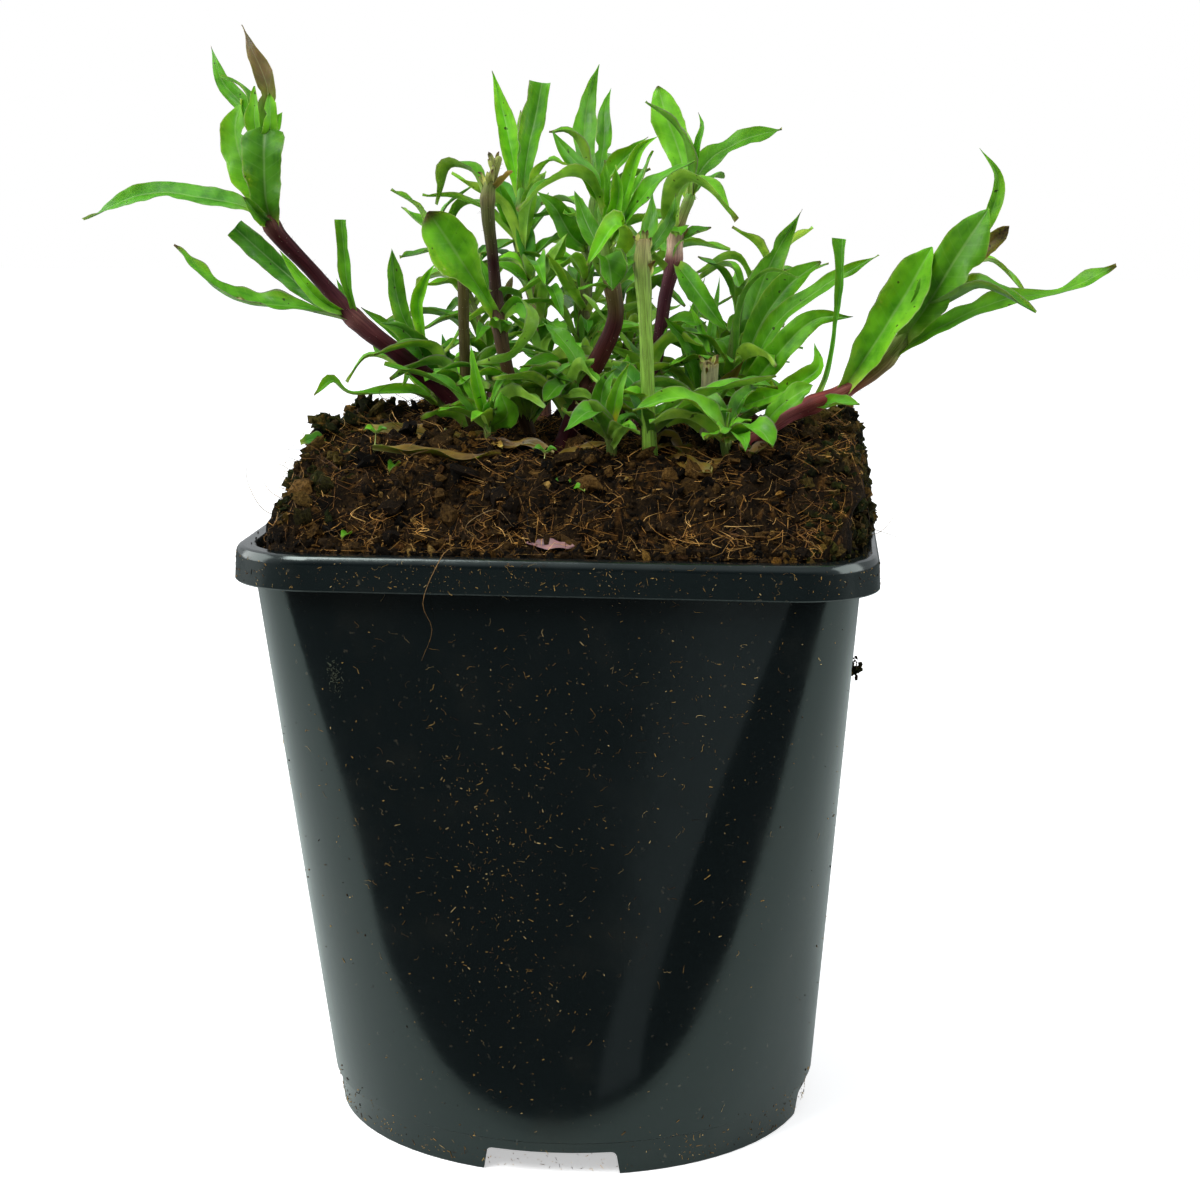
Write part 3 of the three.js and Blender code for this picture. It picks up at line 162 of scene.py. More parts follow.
SHOOTS = (
    Shoot("shoot_far_left",
        stem=((-17, 0, 119), (-19.5, 0, 125.5), (-23, 0, 132.5), (-32, -2, 140.5), (-40.5, -4, 147.5),
            (-48.5, -5, 156.5), (-55.5, -6, 164.5), (-56.5, -6, 171), (-57, -6, 178)),
        radii=(2, 2.1, 1.9, 1.8, 2, 1.5, 1.8, 1.2, 0.7),
        bark=("#5a4a38", "#4f2a2a", "#3f1a20", "#3a161e", "#38141c", "#38141c", "#3a161e", "#4a2228", "#6a3f42",
            "#45202a", "#38161c", "#38161c", "#451f20", "#6a5a3a", "#5f9038", "#5f9a38", "#6fae40"),
        basal=Basal(3, 11),
        leaves=(
            Leaf(((-55.5, -6, 164.5), (-61, -4, 168), (-70.5, 0, 169.5), (-81, 5, 170), (-96, 10, 165.5)), 5,
                FRONT_UP, LANCE, DARK),
            Leaf(((-55.5, -6, 164.5), (-56, -9, 169.5), (-56, -10, 175.5), (-56, -10, 182.5)), 8, FRONT, LOBED, DARK),
            Leaf(((-56.5, -6, 166.5), (-60, -5, 173.5), (-62.5, -4, 180.5), (-62, -3, 187.5)), 6.5, FRONT, LANCE,
                YOUNG),
            Leaf(((-57, -6, 178), (-56.5, -5, 185.5), (-56.5, -5, 190.5), (-61.5, -4, 200.5)), 3.6, FRONT, LANCE,
                PURPLE, sere=0.06),
            Leaf(((-57, -6, 177), (-61, -3, 185.5), (-65.5, -2, 190.5), (-68, -2, 197)), 3.4, FRONT, LANCE),
            Leaf(((-57, -6, 177), (-58, -8, 183.5), (-57.5, -8, 189.5)), 3, FRONT, STRAP, YOUNG),
            Leaf(((-57, -6, 177), (-55, -9, 182.5), (-55, -9, 188.5)), 3, FRONT, STRAP, YOUNG),
            Leaf(((-57, -6, 178), (-60, -5, 188.5), (-65, -4, 191.5)), 2.6, UP, LANCE),
            Leaf(((-56.5, -6, 175.5), (-55, -5, 182), (-53.5, -5, 185)), 2.6, FRONT, STRAP, YOUNG),
            Leaf(((-55.5, -6, 164.5), (-57.5, -10, 167), (-59.5, -12, 170)), 2.4, FRONT, STRAP),
            Leaf(((-40.5, -4, 147.5), (-50, -8, 150), (-59, -10, 151), (-65, -11, 154), (-73, -10, 161)), 6.2,
                FRONT_UP, SPOON, DARK, sere=0.05, hole=(0.58, -0.1)),
            Leaf(((-40.5, -4, 147.5), (-48.5, 0, 151), (-55.5, 3, 156), (-65, 4, 164)), 4.4, FRONT, CUT, DARK),
            Leaf(((-41.5, -4, 148.5), (-47, -9, 152), (-53.5, -10, 160.5)), 2.6, FRONT, LANCE, YOUNG),
            Leaf(((-40.5, -4, 147.5), (-41.5, -7, 154), (-42, -8, 160.5), (-42, -8, 166)), 2.6, FRONT, CUT, DARK),
            Leaf(((-40.5, -4, 147.5), (-43, -1, 151), (-45, 0, 155)), 1.6, FRONT, LANCE, DARK),
        ),
    ),
    Shoot("shoot_left_low",
        stem=((-24, 12, 117), (-25, 12, 121), (-26.5, 12, 126.5), (-28.5, 11, 135.5), (-31, 10, 145)),
        radii=(1.5, 1.5, 1.4, 1.1, 0.7),
        bark=("#6f6a40", "#5f7a38", "#568a34"),
        basal=Basal(5, 23),
        leaves=(
            Leaf(((-30, 10, 142), (-34, 11, 146.5), (-36, 12, 153), (-36.5, 12, 160)), 3.6, FRONT, STRAP),
            Leaf(((-30, 10, 142), (-31, 8, 149.5), (-29.5, 7, 154.5), (-27.5, 6, 157.5)), 2.8, FRONT, LANCE, YOUNG),
            Leaf(((-27.5, 11, 131.5), (-32.5, 7, 141), (-37, 6, 146), (-41.5, 6, 149.5)), 3, FRONT_UP, LANCE),
            Leaf(((-28, 11, 133.5), (-30, 4, 141.5), (-33, 2, 145.5), (-37, 1, 146.5)), 5, FRONT, LANCE, DARK),
            Leaf(((-27, 12, 129.5), (-35.5, 14, 137.5), (-42, 15, 139.5), (-45.5, 15, 134)), 3, UP, LANCE, YOUNG),
            Leaf(((-26.5, 12, 129), (-31.5, 6, 133.5), (-42.5, 2, 133.5), (-46, 0, 136.5), (-49.5, -2, 134.5)), 2.8,
                FRONT_UP, WAIST, sere=0.04),
            Leaf(((-28.5, 11, 135.5), (-27, 16, 139.5), (-28, 18, 143.5)), 2.2, FRONT, LANCE, DARK),
        ),
    ),
    Shoot("stub_left",
        stem=((-18.5, -4, 119), (-19, -4, 123), (-20, -4, 131.5), (-20.5, -5, 144.5), (-20.5, -6, 156)),
        radii=(1.4, 1.4, 1.25, 1.15, 1.2),
        bark=("#5c4a35", "#4c4028", "#4a4528", "#57512f"),
        basal=Basal(3, 5),
        cut=True,
    ),
    Shoot("shoot_dry_top",
        stem=((-6.5, -12, 118), (-7, -12, 124), (-8, -12, 129), (-11.5, -13, 139.5), (-13, -14, 148.5),
            (-14, -14, 159), (-15, -14, 170), (-13, -14, 177)),
        radii=(1.5, 1.5, 1.45, 1.3, 1.6, 1.15, 1.4, 0.7),
        bark=("#5a4a30", "#4a3a26", "#453322", "#4c3a26", "#5a4a3c", "#2e1418", "#5f6a3c", "#94a458"),
        basal=Basal(4, 31),
        leaves=(
            Leaf(((-15, -14, 170), (-18, -12, 175), (-22.5, -10, 175.5), (-24.5, -8, 168.5)), 3.8, UP, LANCE),
            Leaf(((-14, -14, 172), (-12.5, -15, 173), (-10.5, -15, 175)), 1.8, UP, STRAP, DRY),
            Leaf(((-13, -14, 148.5), (-15.5, -17, 153.5), (-20, -20, 161), (-24.5, -21, 168)), 8.8, FRONT, PADDLE,
                YOUNG, sere=0.1),
            Leaf(((-13, -14, 148.5), (-15, -12, 154), (-17, -11, 160)), 3.2, FRONT, LANCE),
            Leaf(((-13, -14, 148.5), (-9, -17, 152), (-5.5, -21, 149), (-9.5, -22, 143), (-16, -21, 142)), 4.6, UP,
                LANCE),
            Leaf(((-13, -14, 148.5), (-12, -12, 152.5), (-11, -10, 156.5)), 2, FRONT, LANCE, PURPLE),
        ),
        frays=(172, 175.5),
    ),
    Shoot("shoot_centre",
        stem=((-2, -16, 119), (-1.5, -16, 125), (0, -16, 130), (3, -17, 138), (8, -18, 148.5), (7.5, -18, 156),
            (6.5, -18, 163), (5.5, -18, 168.5)),
        radii=(2, 2, 1.8, 2, 1.7, 1.6, 1.2, 0.8),
        bark=("#5a3a30", "#3c161c", "#33121a", "#4a2420", "#3a1a1c", "#5a5a2a", "#5f9a38", "#6ba83c"),
        basal=Basal(4, 41),
        leaves=(
            Leaf(((6, -18, 167.5), (4, -22, 174), (0, -25, 178.5), (-2, -26, 182)), 3.8, FRONT_UP, LANCE, DARK),
            Leaf(((6, -18, 167.5), (4, -25, 173.5), (-1, -30, 174), (-8, -34, 169.5)), 3.8, UP, LANCE),
            Leaf(((6.5, -18, 163), (10, -22, 171), (12.5, -24, 178.5), (16, -24, 181)), 3, FRONT, LANCE, YOUNG),
            Leaf(((6, -18, 166), (7.5, -23, 171), (6.5, -24, 177)), 2.2, FRONT, LANCE, YOUNG),
            Leaf(((6.5, -18, 163), (9, -24, 170.5), (9, -26, 176.5)), 3.2, FRONT, LANCE, YOUNG),
            Leaf(((7, -18, 161.5), (11, -23, 168), (16.5, -27, 174), (22, -29, 177.5)), 4.6, FRONT_UP, LANCE),
            Leaf(((7.5, -18, 158), (9.5, -24, 164), (8.5, -28, 166), (4.5, -30, 159)), 3.6, FRONT, STRAP, YOUNG),
            Leaf(((7.5, -18, 155), (6.5, -23, 160), (7.5, -27, 160), (8.5, -28, 155)), 6, FRONT_UP, BLUNT),
            Leaf(((7, -18, 159), (3, -15, 165.5), (0.5, -13, 171.5)), 3.6, FRONT, LANCE),
            Leaf(((3, -17, 138), (0, -15, 143.5), (-5, -13, 149)), 4, FRONT_UP, LANCE, DARK),
            Leaf(((3, -17, 138), (5.5, -20, 139), (8, -21, 140.5)), 1.6, UP, LANCE),
            Leaf(((7.5, -18, 154.5), (11, -14, 159), (13.5, -10, 165.5), (14, -8, 171.5)), 3.8, FRONT, LANCE),
        ),
    ),
    Shoot("stub_centre",
        stem=((15.5, -26, 120), (15.5, -26, 123.5), (15, -26, 128), (14.5, -26, 139.5), (14, -26, 150),
            (13.5, -26, 158), (13.5, -26, 163)),
        radii=(1.6, 1.6, 1.5, 1.4, 1.35, 1.7, 1.4),
        bark=("#7fa048", "#74a03c", "#7aa840", "#82b048", "#86b04c", "#8aac54", "#a0a06c"),
        basal=Basal(3, 53),
        leaves=(
            Leaf(((13.5, -26, 160), (15.5, -24, 163), (18, -22, 167), (19, -21, 171.5)), 2.4, FRONT, LANCE),
        ),
        cut=True,
        frays=(157, 161.5),
    ),
    Shoot("shoot_centre_right",
        stem=((9, 2, 117), (9.5, 2, 122), (10.5, 2, 127.5), (14, 6, 140.5), (15.5, 7, 151.5), (17, 8, 158.5),
            (17.5, 8, 164), (20, 8, 170.5)),
        radii=(1.9, 1.9, 1.7, 1.5, 1.4, 1.7, 1.5, 0.9),
        bark=("#4a2a30", "#4c2630", "#4c2630", "#4c2630", "#43222c", "#43222c", "#4a2630", "#43202a", "#3f1e28",
            "#4a2630", "#6a4248", "#cdb6a4", "#9a8a68", "#7a8a4a", "#5f9a38"),
        basal=Basal(3, 62),
        leaves=(
            Leaf(((17.5, 8, 162.5), (17, 2, 169), (20.5, -3, 173.5), (25, -6, 171), (29.5, -8, 167)), 5.2, UP, LANCE,
                sere=0.05),
            Leaf(((20, 8, 170.5), (22.5, 9, 176), (28, 11, 180), (36.5, 13, 183)), 4.4, FRONT_UP, STRAP),
            Leaf(((20, 8, 169.5), (17.5, 12, 178.5), (15, 13, 185), (13.5, 13, 190.5)), 6.2, FRONT, BLUNT, YOUNG),
            Leaf(((20, 8, 170), (19.5, 4, 179), (16.5, 2, 184), (12, 1, 187.5)), 3.4, UP, LANCE, DARK),
            Leaf(((20, 8, 170.5), (21, 6, 179), (22, 6, 183), (21, 6, 185.5)), 1.6, FRONT, LANCE),
            Leaf(((20, 8, 170.5), (22.5, 15, 173.5), (25.5, 20, 174.5)), 4.2, UP, BLUNT),
            Leaf(((17, 8, 158.5), (21.5, 2, 153.5), (27.5, -2, 146)), 4.6, FRONT_UP, LANCE),
            Leaf(((17, 8, 158.5), (15, 14, 161.5), (12, 18, 162.5)), 2.6, FRONT, LANCE, DARK),
        ),
        frays=(163,),
    ),
    Shoot("tuft_right_low",
        stem=((22, 6, 119), (22, 6, 122.5), (22, 6, 127), (22.5, 6, 134)),
        radii=(1.3, 1.3, 1.1, 0.7),
        bark=("#6a6a3a", "#4f7a2c"),
        basal=Basal(3, 71),
        leaves=(
            Leaf(((22.5, 6, 133), (21.5, 3, 141.5), (16, 0, 148.5)), 4.2, FRONT, LANCE),
            Leaf(((22.5, 6, 133), (23, 8, 143), (20, 9, 150.5)), 2, FRONT, LANCE, YOUNG),
            Leaf(((22.5, 6, 133), (19.5, 12, 142.5), (22.5, 16, 155.5)), 2.2, FRONT, LANCE, YOUNG),
            Leaf(((22.5, 6, 133), (24, 12, 144.5), (25.5, 14, 155.5)), 1.8, FRONT, LANCE),
            Leaf(((22.5, 6, 131), (19.5, 18, 145), (27.5, 22, 151.5)), 3, UP, LANCE, DARK),
        ),
    ),
    Shoot("shoot_right",
        stem=((28.5, 8, 118), (28.5, 8, 122.5), (28.5, 8, 128), (28, 10, 140), (29.5, 12, 151.5)),
        radii=(1.8, 1.8, 1.7, 1.1, 0.8),
        bark=("#8f7664", "#9a8272", "#988a6c", "#6f8f42", "#5a9038"),
        basal=Basal(4, 83),
        leaves=(
            Leaf(((28.5, 8, 133), (30.5, 14, 144.5), (34.5, 18, 157), (40.5, 19, 168)), 6, FRONT, LANCE, sere=0.05),
            Leaf(((28.5, 8, 132), (35.5, 5, 146), (43.5, 2, 153.5), (54.5, -1, 160.5)), 4.4, FRONT_UP, LANCE),
            Leaf(((28.5, 8, 133), (32.5, 10, 145), (37.5, 11, 153), (44, 12, 159)), 5.2, FRONT, BLUNT),
            Leaf(((28.5, 8, 130.5), (35.5, 1, 140.5), (43, -4, 148.5), (50.5, -6, 149.5)), 5.4, FRONT, LANCE),
            Leaf(((28.5, 9, 135.5), (30, 4, 151.5), (34.5, 1, 157), (40, -1, 155.5)), 1.8, UP, LANCE, DARK),
            Leaf(((28.5, 8, 133), (31.5, 18, 141.5), (36, 22, 150.5), (38, 23, 155.5)), 2.4, FRONT, LANCE, YOUNG),
            Leaf(((28.5, 8, 130), (27, 4, 136), (30.5, 0, 140.5)), 3, FRONT, LANCE, DRY),
            Leaf(((28.5, 8, 131), (37.5, -4, 135.5), (44, -6, 140), (43, -6, 144.5)), 4.2, FRONT_UP, STRAP, YOUNG),
        ),
        frays=(128, 134),
    ),
    Shoot("stub_right",
        stem=((24.5, -14, 119), (24.5, -14, 123), (24.5, -14, 129.5), (25, -16, 141)),
        radii=(1.7, 1.7, 1.6, 1.7),
        bark=("#8a7c5c", "#8c9068", "#a0a27c"),
        basal=Basal(2, 97),
        cut=True,
        frays=(139.5,),
    ),
    Shoot("shoot_far_right",
        stem=((30, -16, 117), (30, -14.5, 122.5), (32.5, -14, 127.5), (38.5, -14, 132), (43.5, -14, 134.5),
            (50, -14, 137.5), (56, -14, 142.5), (61, -14, 149.5), (66.5, -14, 158)),
        radii=(1.8, 1.8, 1.7, 1.5, 1.8, 1.4, 1.7, 1.1, 0.7),
        # The fourth colour, pale pink-brown, is a painted highlight where the stem bends outward.
        bark=("#6b3a34", "#8c3c40", "#8a3a40", "#a8646a", "#7e3436", "#80443c", "#7a7c44", "#64a03c", "#6aac3e"),
        basal=Basal(0, 101),
        leaves=(
            Leaf(((48.5, -14, 137), (53.5, -17, 145), (58.5, -18, 153.5), (63.5, -18, 162.5)), 7.6, FRONT, BLUNT,
                YOUNG),
            Leaf(((58.5, -14, 145.5), (62.5, -18, 152), (67, -20, 160), (72.5, -20, 169.5)), 8, FRONT, BLUNT),
            Leaf(((65, -14, 156), (72.5, -15, 166.5), (74.5, -15, 174), (71, -15, 179.5)), 2.6, FRONT, LANCE, YOUNG),
            Leaf(((66, -14, 157), (73, -12, 162.5), (77, -11, 166)), 3.4, FRONT, BLUNT, DRY, sere=0.45),
            Leaf(((56, -14, 142.5), (64.5, -15, 148), (75.5, -13, 153), (87, -11, 155), (96, -10, 159.5)), 5,
                FRONT_UP, WAIST, sere=0.05),
            Leaf(((61, -14, 149.5), (67, -10, 156), (74, -8, 160), (80.5, -6, 154.5)), 3.2, UP, LANCE, YOUNG),
            Leaf(((60, -14, 148), (66.5, -19, 153.5), (72.5, -22, 156), (81, -23, 151.5)), 3.8, UP, LANCE, DARK),
            Leaf(((43.5, -14, 134), (47.5, -17, 135), (51.5, -19, 135)), 3.2, FRONT_UP, LANCE),
            Leaf(((43.5, -14, 134.5), (46, -11, 141), (47.5, -10, 152.5), (48.5, -10, 163.5)), 3.2, FRONT, FORK,
                DARK),
            Leaf(((34, -14, 128.5), (36.5, -18, 133.5), (43, -20, 138.5)), 4.6, FRONT_UP, BLUNT, YOUNG),
        ),
    ),
    Shoot("shoot_back_left",
        stem=((-8, 20, 118), (-8, 20, 123), (-8.5, 20, 129), (-9.5, 24, 144), (-14.5, 32, 161), (-14.5, 34, 170.5)),
        radii=(1.8, 1.8, 1.7, 1.4, 1.5, 0.9),
        bark=("#6f5446", "#6a4a42", "#6f4c44", "#6a7a40", "#5f9a38"),
        basal=Basal(4, 113),
        leaves=(
            Leaf(((-14.5, 34, 168), (-17, 38, 178.5), (-19, 41, 186), (-21.5, 43, 193.5)), 4.2, FRONT, LANCE, YOUNG),
            Leaf(((-14.5, 34, 168), (-13.5, 36, 177.5), (-12, 38, 185.5), (-11, 39, 191.5)), 5, FRONT, CUT),
            Leaf(((-14.5, 34, 170), (-15.5, 43, 179.5), (-16.5, 46, 186.5)), 2.2, FRONT, LANCE),
            Leaf(((-14.5, 33, 166.5), (-9.5, 31, 176), (-5, 30, 177)), 3.2, UP, LANCE, YOUNG),
            Leaf(((-14.5, 32, 161), (-17, 28, 168), (-18.5, 26, 173.5)), 3.6, FRONT, LANCE),
            Leaf(((-14.5, 32, 162), (-12.5, 40, 167.5), (-10.5, 47, 170.5)), 4, UP, LANCE),
        ),
    ),
    Shoot("shoot_back",
        stem=((0, 16, 119), (0, 16, 125), (0, 16, 129.5), (-1, 22, 144.5), (-0.5, 28, 159.5), (0.5, 30, 171)),
        radii=(1.8, 1.8, 1.7, 1.4, 1.5, 0.9),
        bark=("#6a4c48", "#6a4842", "#704f48", "#5f7a38", "#5f9a38"),
        basal=Basal(4, 127),
        leaves=(
            Leaf(((0.5, 30, 169), (-2, 34, 178.5), (-2, 37, 186.5), (0, 39, 195)), 4.8, FRONT, LANCE),
            Leaf(((0.5, 30, 170), (1.5, 36, 179.5), (1.5, 39, 186.5), (2.5, 41, 191)), 3.2, FRONT, LANCE),
            Leaf(((0.5, 30, 169), (-2, 28, 178.5), (-5, 27, 182.5), (-8, 27, 183.5)), 3, UP, LANCE),
            Leaf(((0.5, 30, 168), (4.5, 27, 175), (8, 26, 178.5), (11, 26, 181)), 3.6, FRONT_UP, LANCE),
            Leaf(((-0.5, 28, 159.5), (5.5, 24, 166.5), (10, 20, 173), (13, 18, 178.5)), 3.4, FRONT_UP, LANCE),
            Leaf(((-0.5, 28, 159.5), (-3.5, 22, 162.5), (-6, 18, 167.5), (-9, 16, 171)), 5, FRONT, LANCE),
            Leaf(((0.5, 30, 170), (1.5, 42, 176.5), (3, 51, 178.5)), 3.8, UP, LANCE),
        ),
    ),
    Shoot("tuft_front_right",
        stem=((29, -28, 121), (29, -28, 125), (28.5, -28, 128), (28, -28, 130.5)),
        radii=(1.1, 1.1, 1.1, 0.8),
        bark=("#6a6a3a", "#4f7a2c"),
        basal=Basal(2, 131),
        leaves=(
            Leaf(((28, -28, 130), (25.5, -30, 134), (20.5, -32, 137), (12.5, -34, 135)), 3.8, FRONT_UP, STRAP, YOUNG),
            Leaf(((28, -28, 130), (26.5, -24, 134.5), (23, -21, 136.5), (20, -19, 135)), 3.4, FRONT_UP, STRAP, YOUNG),
            Leaf(((28.5, -28, 130), (31.5, -31, 131.5), (34.5, -33, 131.5), (36.5, -34, 129)), 5, UP, BLUNT),
            Leaf(((28.5, -28, 130), (26, -32, 131), (25, -35, 130)), 3.6, UP, LANCE, YOUNG),
            Leaf(((28.5, -28, 130), (31.5, -35, 130.5), (32, -38, 128.5)), 3.6, UP, LANCE),
        ),
    ),
    Shoot("tuft_front_left",
        stem=((-13.5, -18, 121), (-13.5, -18, 125), (-14, -18, 128), (-14.5, -18, 130.5)),
        radii=(1.1, 1.1, 1.1, 0.8),
        bark=("#6a6a3a", "#4f7a2c"),
        basal=Basal(3, 149),
        leaves=(
            Leaf(((-14.5, -18, 129.5), (-16.5, -19, 135), (-19.5, -20, 139.5)), 2.2, FRONT, LANCE, YOUNG),
            Leaf(((-14.5, -18, 129.5), (-15.5, -22, 137), (-17, -23, 145)), 2.4, FRONT, LANCE, YOUNG),
            Leaf(((-14.5, -18, 129.5), (-10.5, -22, 132.5), (-11.5, -24, 136.5)), 4.4, FRONT, BLUNT),
            Leaf(((-14, -18, 129.5), (-18.5, -20, 132.5), (-22.5, -22, 134)), 3.2, UP, LANCE),
            Leaf(((-14, -18, 129.5), (-14.5, -24, 133), (-16, -29, 132)), 3, UP, LANCE, YOUNG),
        ),
    ),
    Shoot("tuft_middle",
        stem=((8.5, -28, 121), (8.5, -28, 124.5), (8.5, -28, 128), (8, -28, 130)),
        radii=(1.1, 1.1, 1, 0.8),
        bark=("#6a6a3a", "#4f7a2c"),
        basal=Basal(2, 151),
        leaves=(
            Leaf(((8, -28, 129.5), (6.5, -27, 134), (7, -27, 138.5), (9, -27, 141.5)), 3.8, FRONT, LANCE),
            Leaf(((8, -28, 129.5), (9, -29, 135), (10, -30, 139), (11.5, -30, 142.5)), 2.8, FRONT, LANCE, YOUNG,
                stain=True),
            Leaf(((8, -28, 129.5), (4, -31, 132.5), (0, -33, 134.5)), 3.6, UP, LANCE),
            Leaf(((8, -28, 129.5), (10.5, -33, 132), (14, -36, 131.5)), 3.2, UP, LANCE),
        ),
    ),
)


REAR_SHOOTS = (
    ("shoot_rear_left", (-19, 29), (-14, 10), 34, 7, Basal(4, 163)),
    ("shoot_rear_middle", (6, 36), (3, 11), 30, 13, Basal(4, 173)),
    ("shoot_rear_right", (24, 27), (11, 10), 27, 29, Basal(4, 181)),
)
REAR_BARK = ("#6a4a44", "#5f3a3c", "#6a5a44", "#628040", "#5f9a38")
REAR_ROOT_Z = 119
REAR_SOIL_Z = 127
REAR_PAIRS = 3
GOLDEN_ANGLE = 2.39996
DEPTH_BENDS = (0, 2, -2, 4, -4, 6, -6, 8, -8, 11, -11, 14, -14)
TURN_BENDS = (0, 14, -14, 28, -28, 42, -42, 56, -56, 75, -75, 95, -95, 120, -120, 150, 180)


def mix(a: float, b: float, share: float) -> float:
    """The value at a share of the way from a to b."""
    return a + (b - a) * share


def along(values: Sequence[float], share: float) -> float:
    """The value of a list at a share of its length, straight between its entries."""
    place = min(max(share, 0.0), 1.0) * (len(values) - 1)
    index = min(int(place), len(values) - 2)
    return mix(values[index], values[index + 1], place - index)


def smooth_along(values: Sequence[float], share: float) -> float:
    """The value of a list at a share of its length, on a smooth curve through its entries."""
    place = min(max(share, 0.0), 1.0) * (len(values) - 1)
    index = min(int(place), len(values) - 2)
    w = place - index
    before = values[max(index - 1, 0)]
    after = values[min(index + 2, len(values) - 1)]
    start, end = values[index], values[index + 1]
    slope_in, slope_out = (end - before) / 2, (after - start) / 2
    return (start * (2 * w**3 - 3 * w**2 + 1) + slope_in * (w**3 - 2 * w**2 + w)
            + end * (3 * w**2 - 2 * w**3) + slope_out * (w**3 - w**2))


def step(low: float, high: float, value: float) -> float:
    """A soft step from 0 at low to 1 at high."""
    share = min(max((value - low) / (high - low), 0.0), 1.0)
    return share * share * (3 - 2 * share)


def linear(code: str) -> Rgb:
    """An sRGB hex colour as linear light."""
    parts = (int(code[i:i + 2], 16) / 255 for i in (1, 3, 5))
    return tuple(p / 12.92 if p <= 0.04045 else ((p + 0.055) / 1.055) ** 2.4 for p in parts)


def blend(a: Rgb, b: Rgb, share: float) -> Rgb:
    """The colour at a share of the way from a to b."""
    return tuple(mix(p, q, share) for p, q in zip(a, b))


def shaded(colour: Rgb, light: float) -> Rgb:
    """The colour with its light changed by a factor."""
    return tuple(min(p * light, 1.0) for p in colour)


def colour_along(codes: Sequence[str], share: float) -> Rgb:
    """The colour of a list of hex colours at a share of its length."""
    colours = [linear(code) for code in codes]
    return tuple(along([colour[k] for colour in colours], share) for k in range(3))


def draws(seed: int) -> Iterator[float]:
    """Random numbers from 0 to 1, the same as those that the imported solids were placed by."""
    state = seed
    while True:
        state = (state + 0x6D2B79F5) & 0xFFFFFFFF
        t = ((state ^ (state >> 15)) * (state | 1)) & 0xFFFFFFFF
        t ^= (t + (((t ^ (t >> 7)) * (t | 61)) & 0xFFFFFFFF)) & 0xFFFFFFFF
        yield ((t ^ (t >> 14)) & 0xFFFFFFFF) / 4294967296


class Spine:
    """A smooth curve through points, walked by its length."""

    DIVISIONS = 200

    def __init__(self, points: Sequence[Point]) -> None:
        """Measure the curve.

        Args:
            points: what the curve passes, in millimetres.
        """
        self.points = [Vector(point) for point in points]
        self.reach = [0.0]
        last = self.at(0)
        for i in range(1, self.DIVISIONS + 1):
            here = self.at(i / self.DIVISIONS)
            self.reach.append(self.reach[-1] + (here - last).length)
            last = here
        self.length = self.reach[-1]

    def at(self, t: float) -> Vector:
        """The point at a share of the list of points."""
        points = self.points
        place = t * (len(points) - 1)
        index = min(int(place), len(points) - 2)
        w = place - index
        start, end = points[index], points[index + 1]
        before = points[index - 1] if index else 2 * start - end
        after = points[index + 2] if index + 2 < len(points) else 2 * end - start
        return (start * (2 * w**3 - 3 * w**2 + 1) + (end - before) * ((w**3 - 2 * w**2 + w) / 2)
                + end * (3 * w**2 - 2 * w**3) + (after - start) * ((w**3 - w**2) / 2))

    def place(self, share: float) -> float:
        """Where a share of the length lies, as a share of the list of points."""
        goal = share * self.length
        index = min(bisect_right(self.reach, goal) - 1, self.DIVISIONS - 1)
        span = self.reach[index + 1] - self.reach[index]
        return (index + (goal - self.reach[index]) / span) / self.DIVISIONS

    def walk(self, steps: int) -> list[Vector]:
        """Points at even steps of the length."""
        return [self.at(self.place(i / steps)) for i in range(steps + 1)]

    def nearest(self, point: Vector) -> float:
        """The share of the length at which the curve passes closest to a point."""
        samples = 60
        return min((i / samples for i in range(samples + 1)),
                   key=lambda share: (self.at(self.place(share)) - point).length)


def tangents(points: Sequence[Vector]) -> list[Vector]:
    """The curve's way at each point."""
    last = len(points) - 1
    return [(points[min(i + 1, last)] - points[max(i - 1, 0)]).normalized() for i in range(last + 1)]


def squared(vector: Vector, way: Vector) -> Vector:
    """The vector turned square to a way."""
    return (vector - way * vector.dot(way)).normalized()


def upper_sides(ways: Sequence[Vector], face: Point) -> list[Vector]:
    """The upper side's direction at each point, carried both ways from where the face is most square."""
    look = Vector(face).normalized()
    slant = [abs(way.dot(look)) for way in ways]
    start = slant.index(min(slant))
    sides = [look] * len(ways)
    sides[start] = squared(look, ways[start])
    for i in range(start + 1, len(ways)):
        sides[i] = squared(sides[i - 1], ways[i])
    for i in range(start - 1, -1, -1):
        sides[i] = squared(sides[i + 1], ways[i])
    return sides


@dataclass(slots=True)
class Dot:
    """A point of a skin, with what its finish needs to know there.

    Args:
        at: the place, in millimetres.
        hue: the colour, in linear light.
        across: the place across a blade, from -1 to 1, or round a stem, from 0 to 1.
        along: the distance from the root, in millimetres.
        sere: how dry the flesh is, from 0 to 1.
        rim: how purple the margin is, from 0 to 1.
    """

    at: Vector
    hue: Rgb
    across: float = 0.0
    along: float = 0.0
    sere: float = 0.0
    rim: float = 0.0


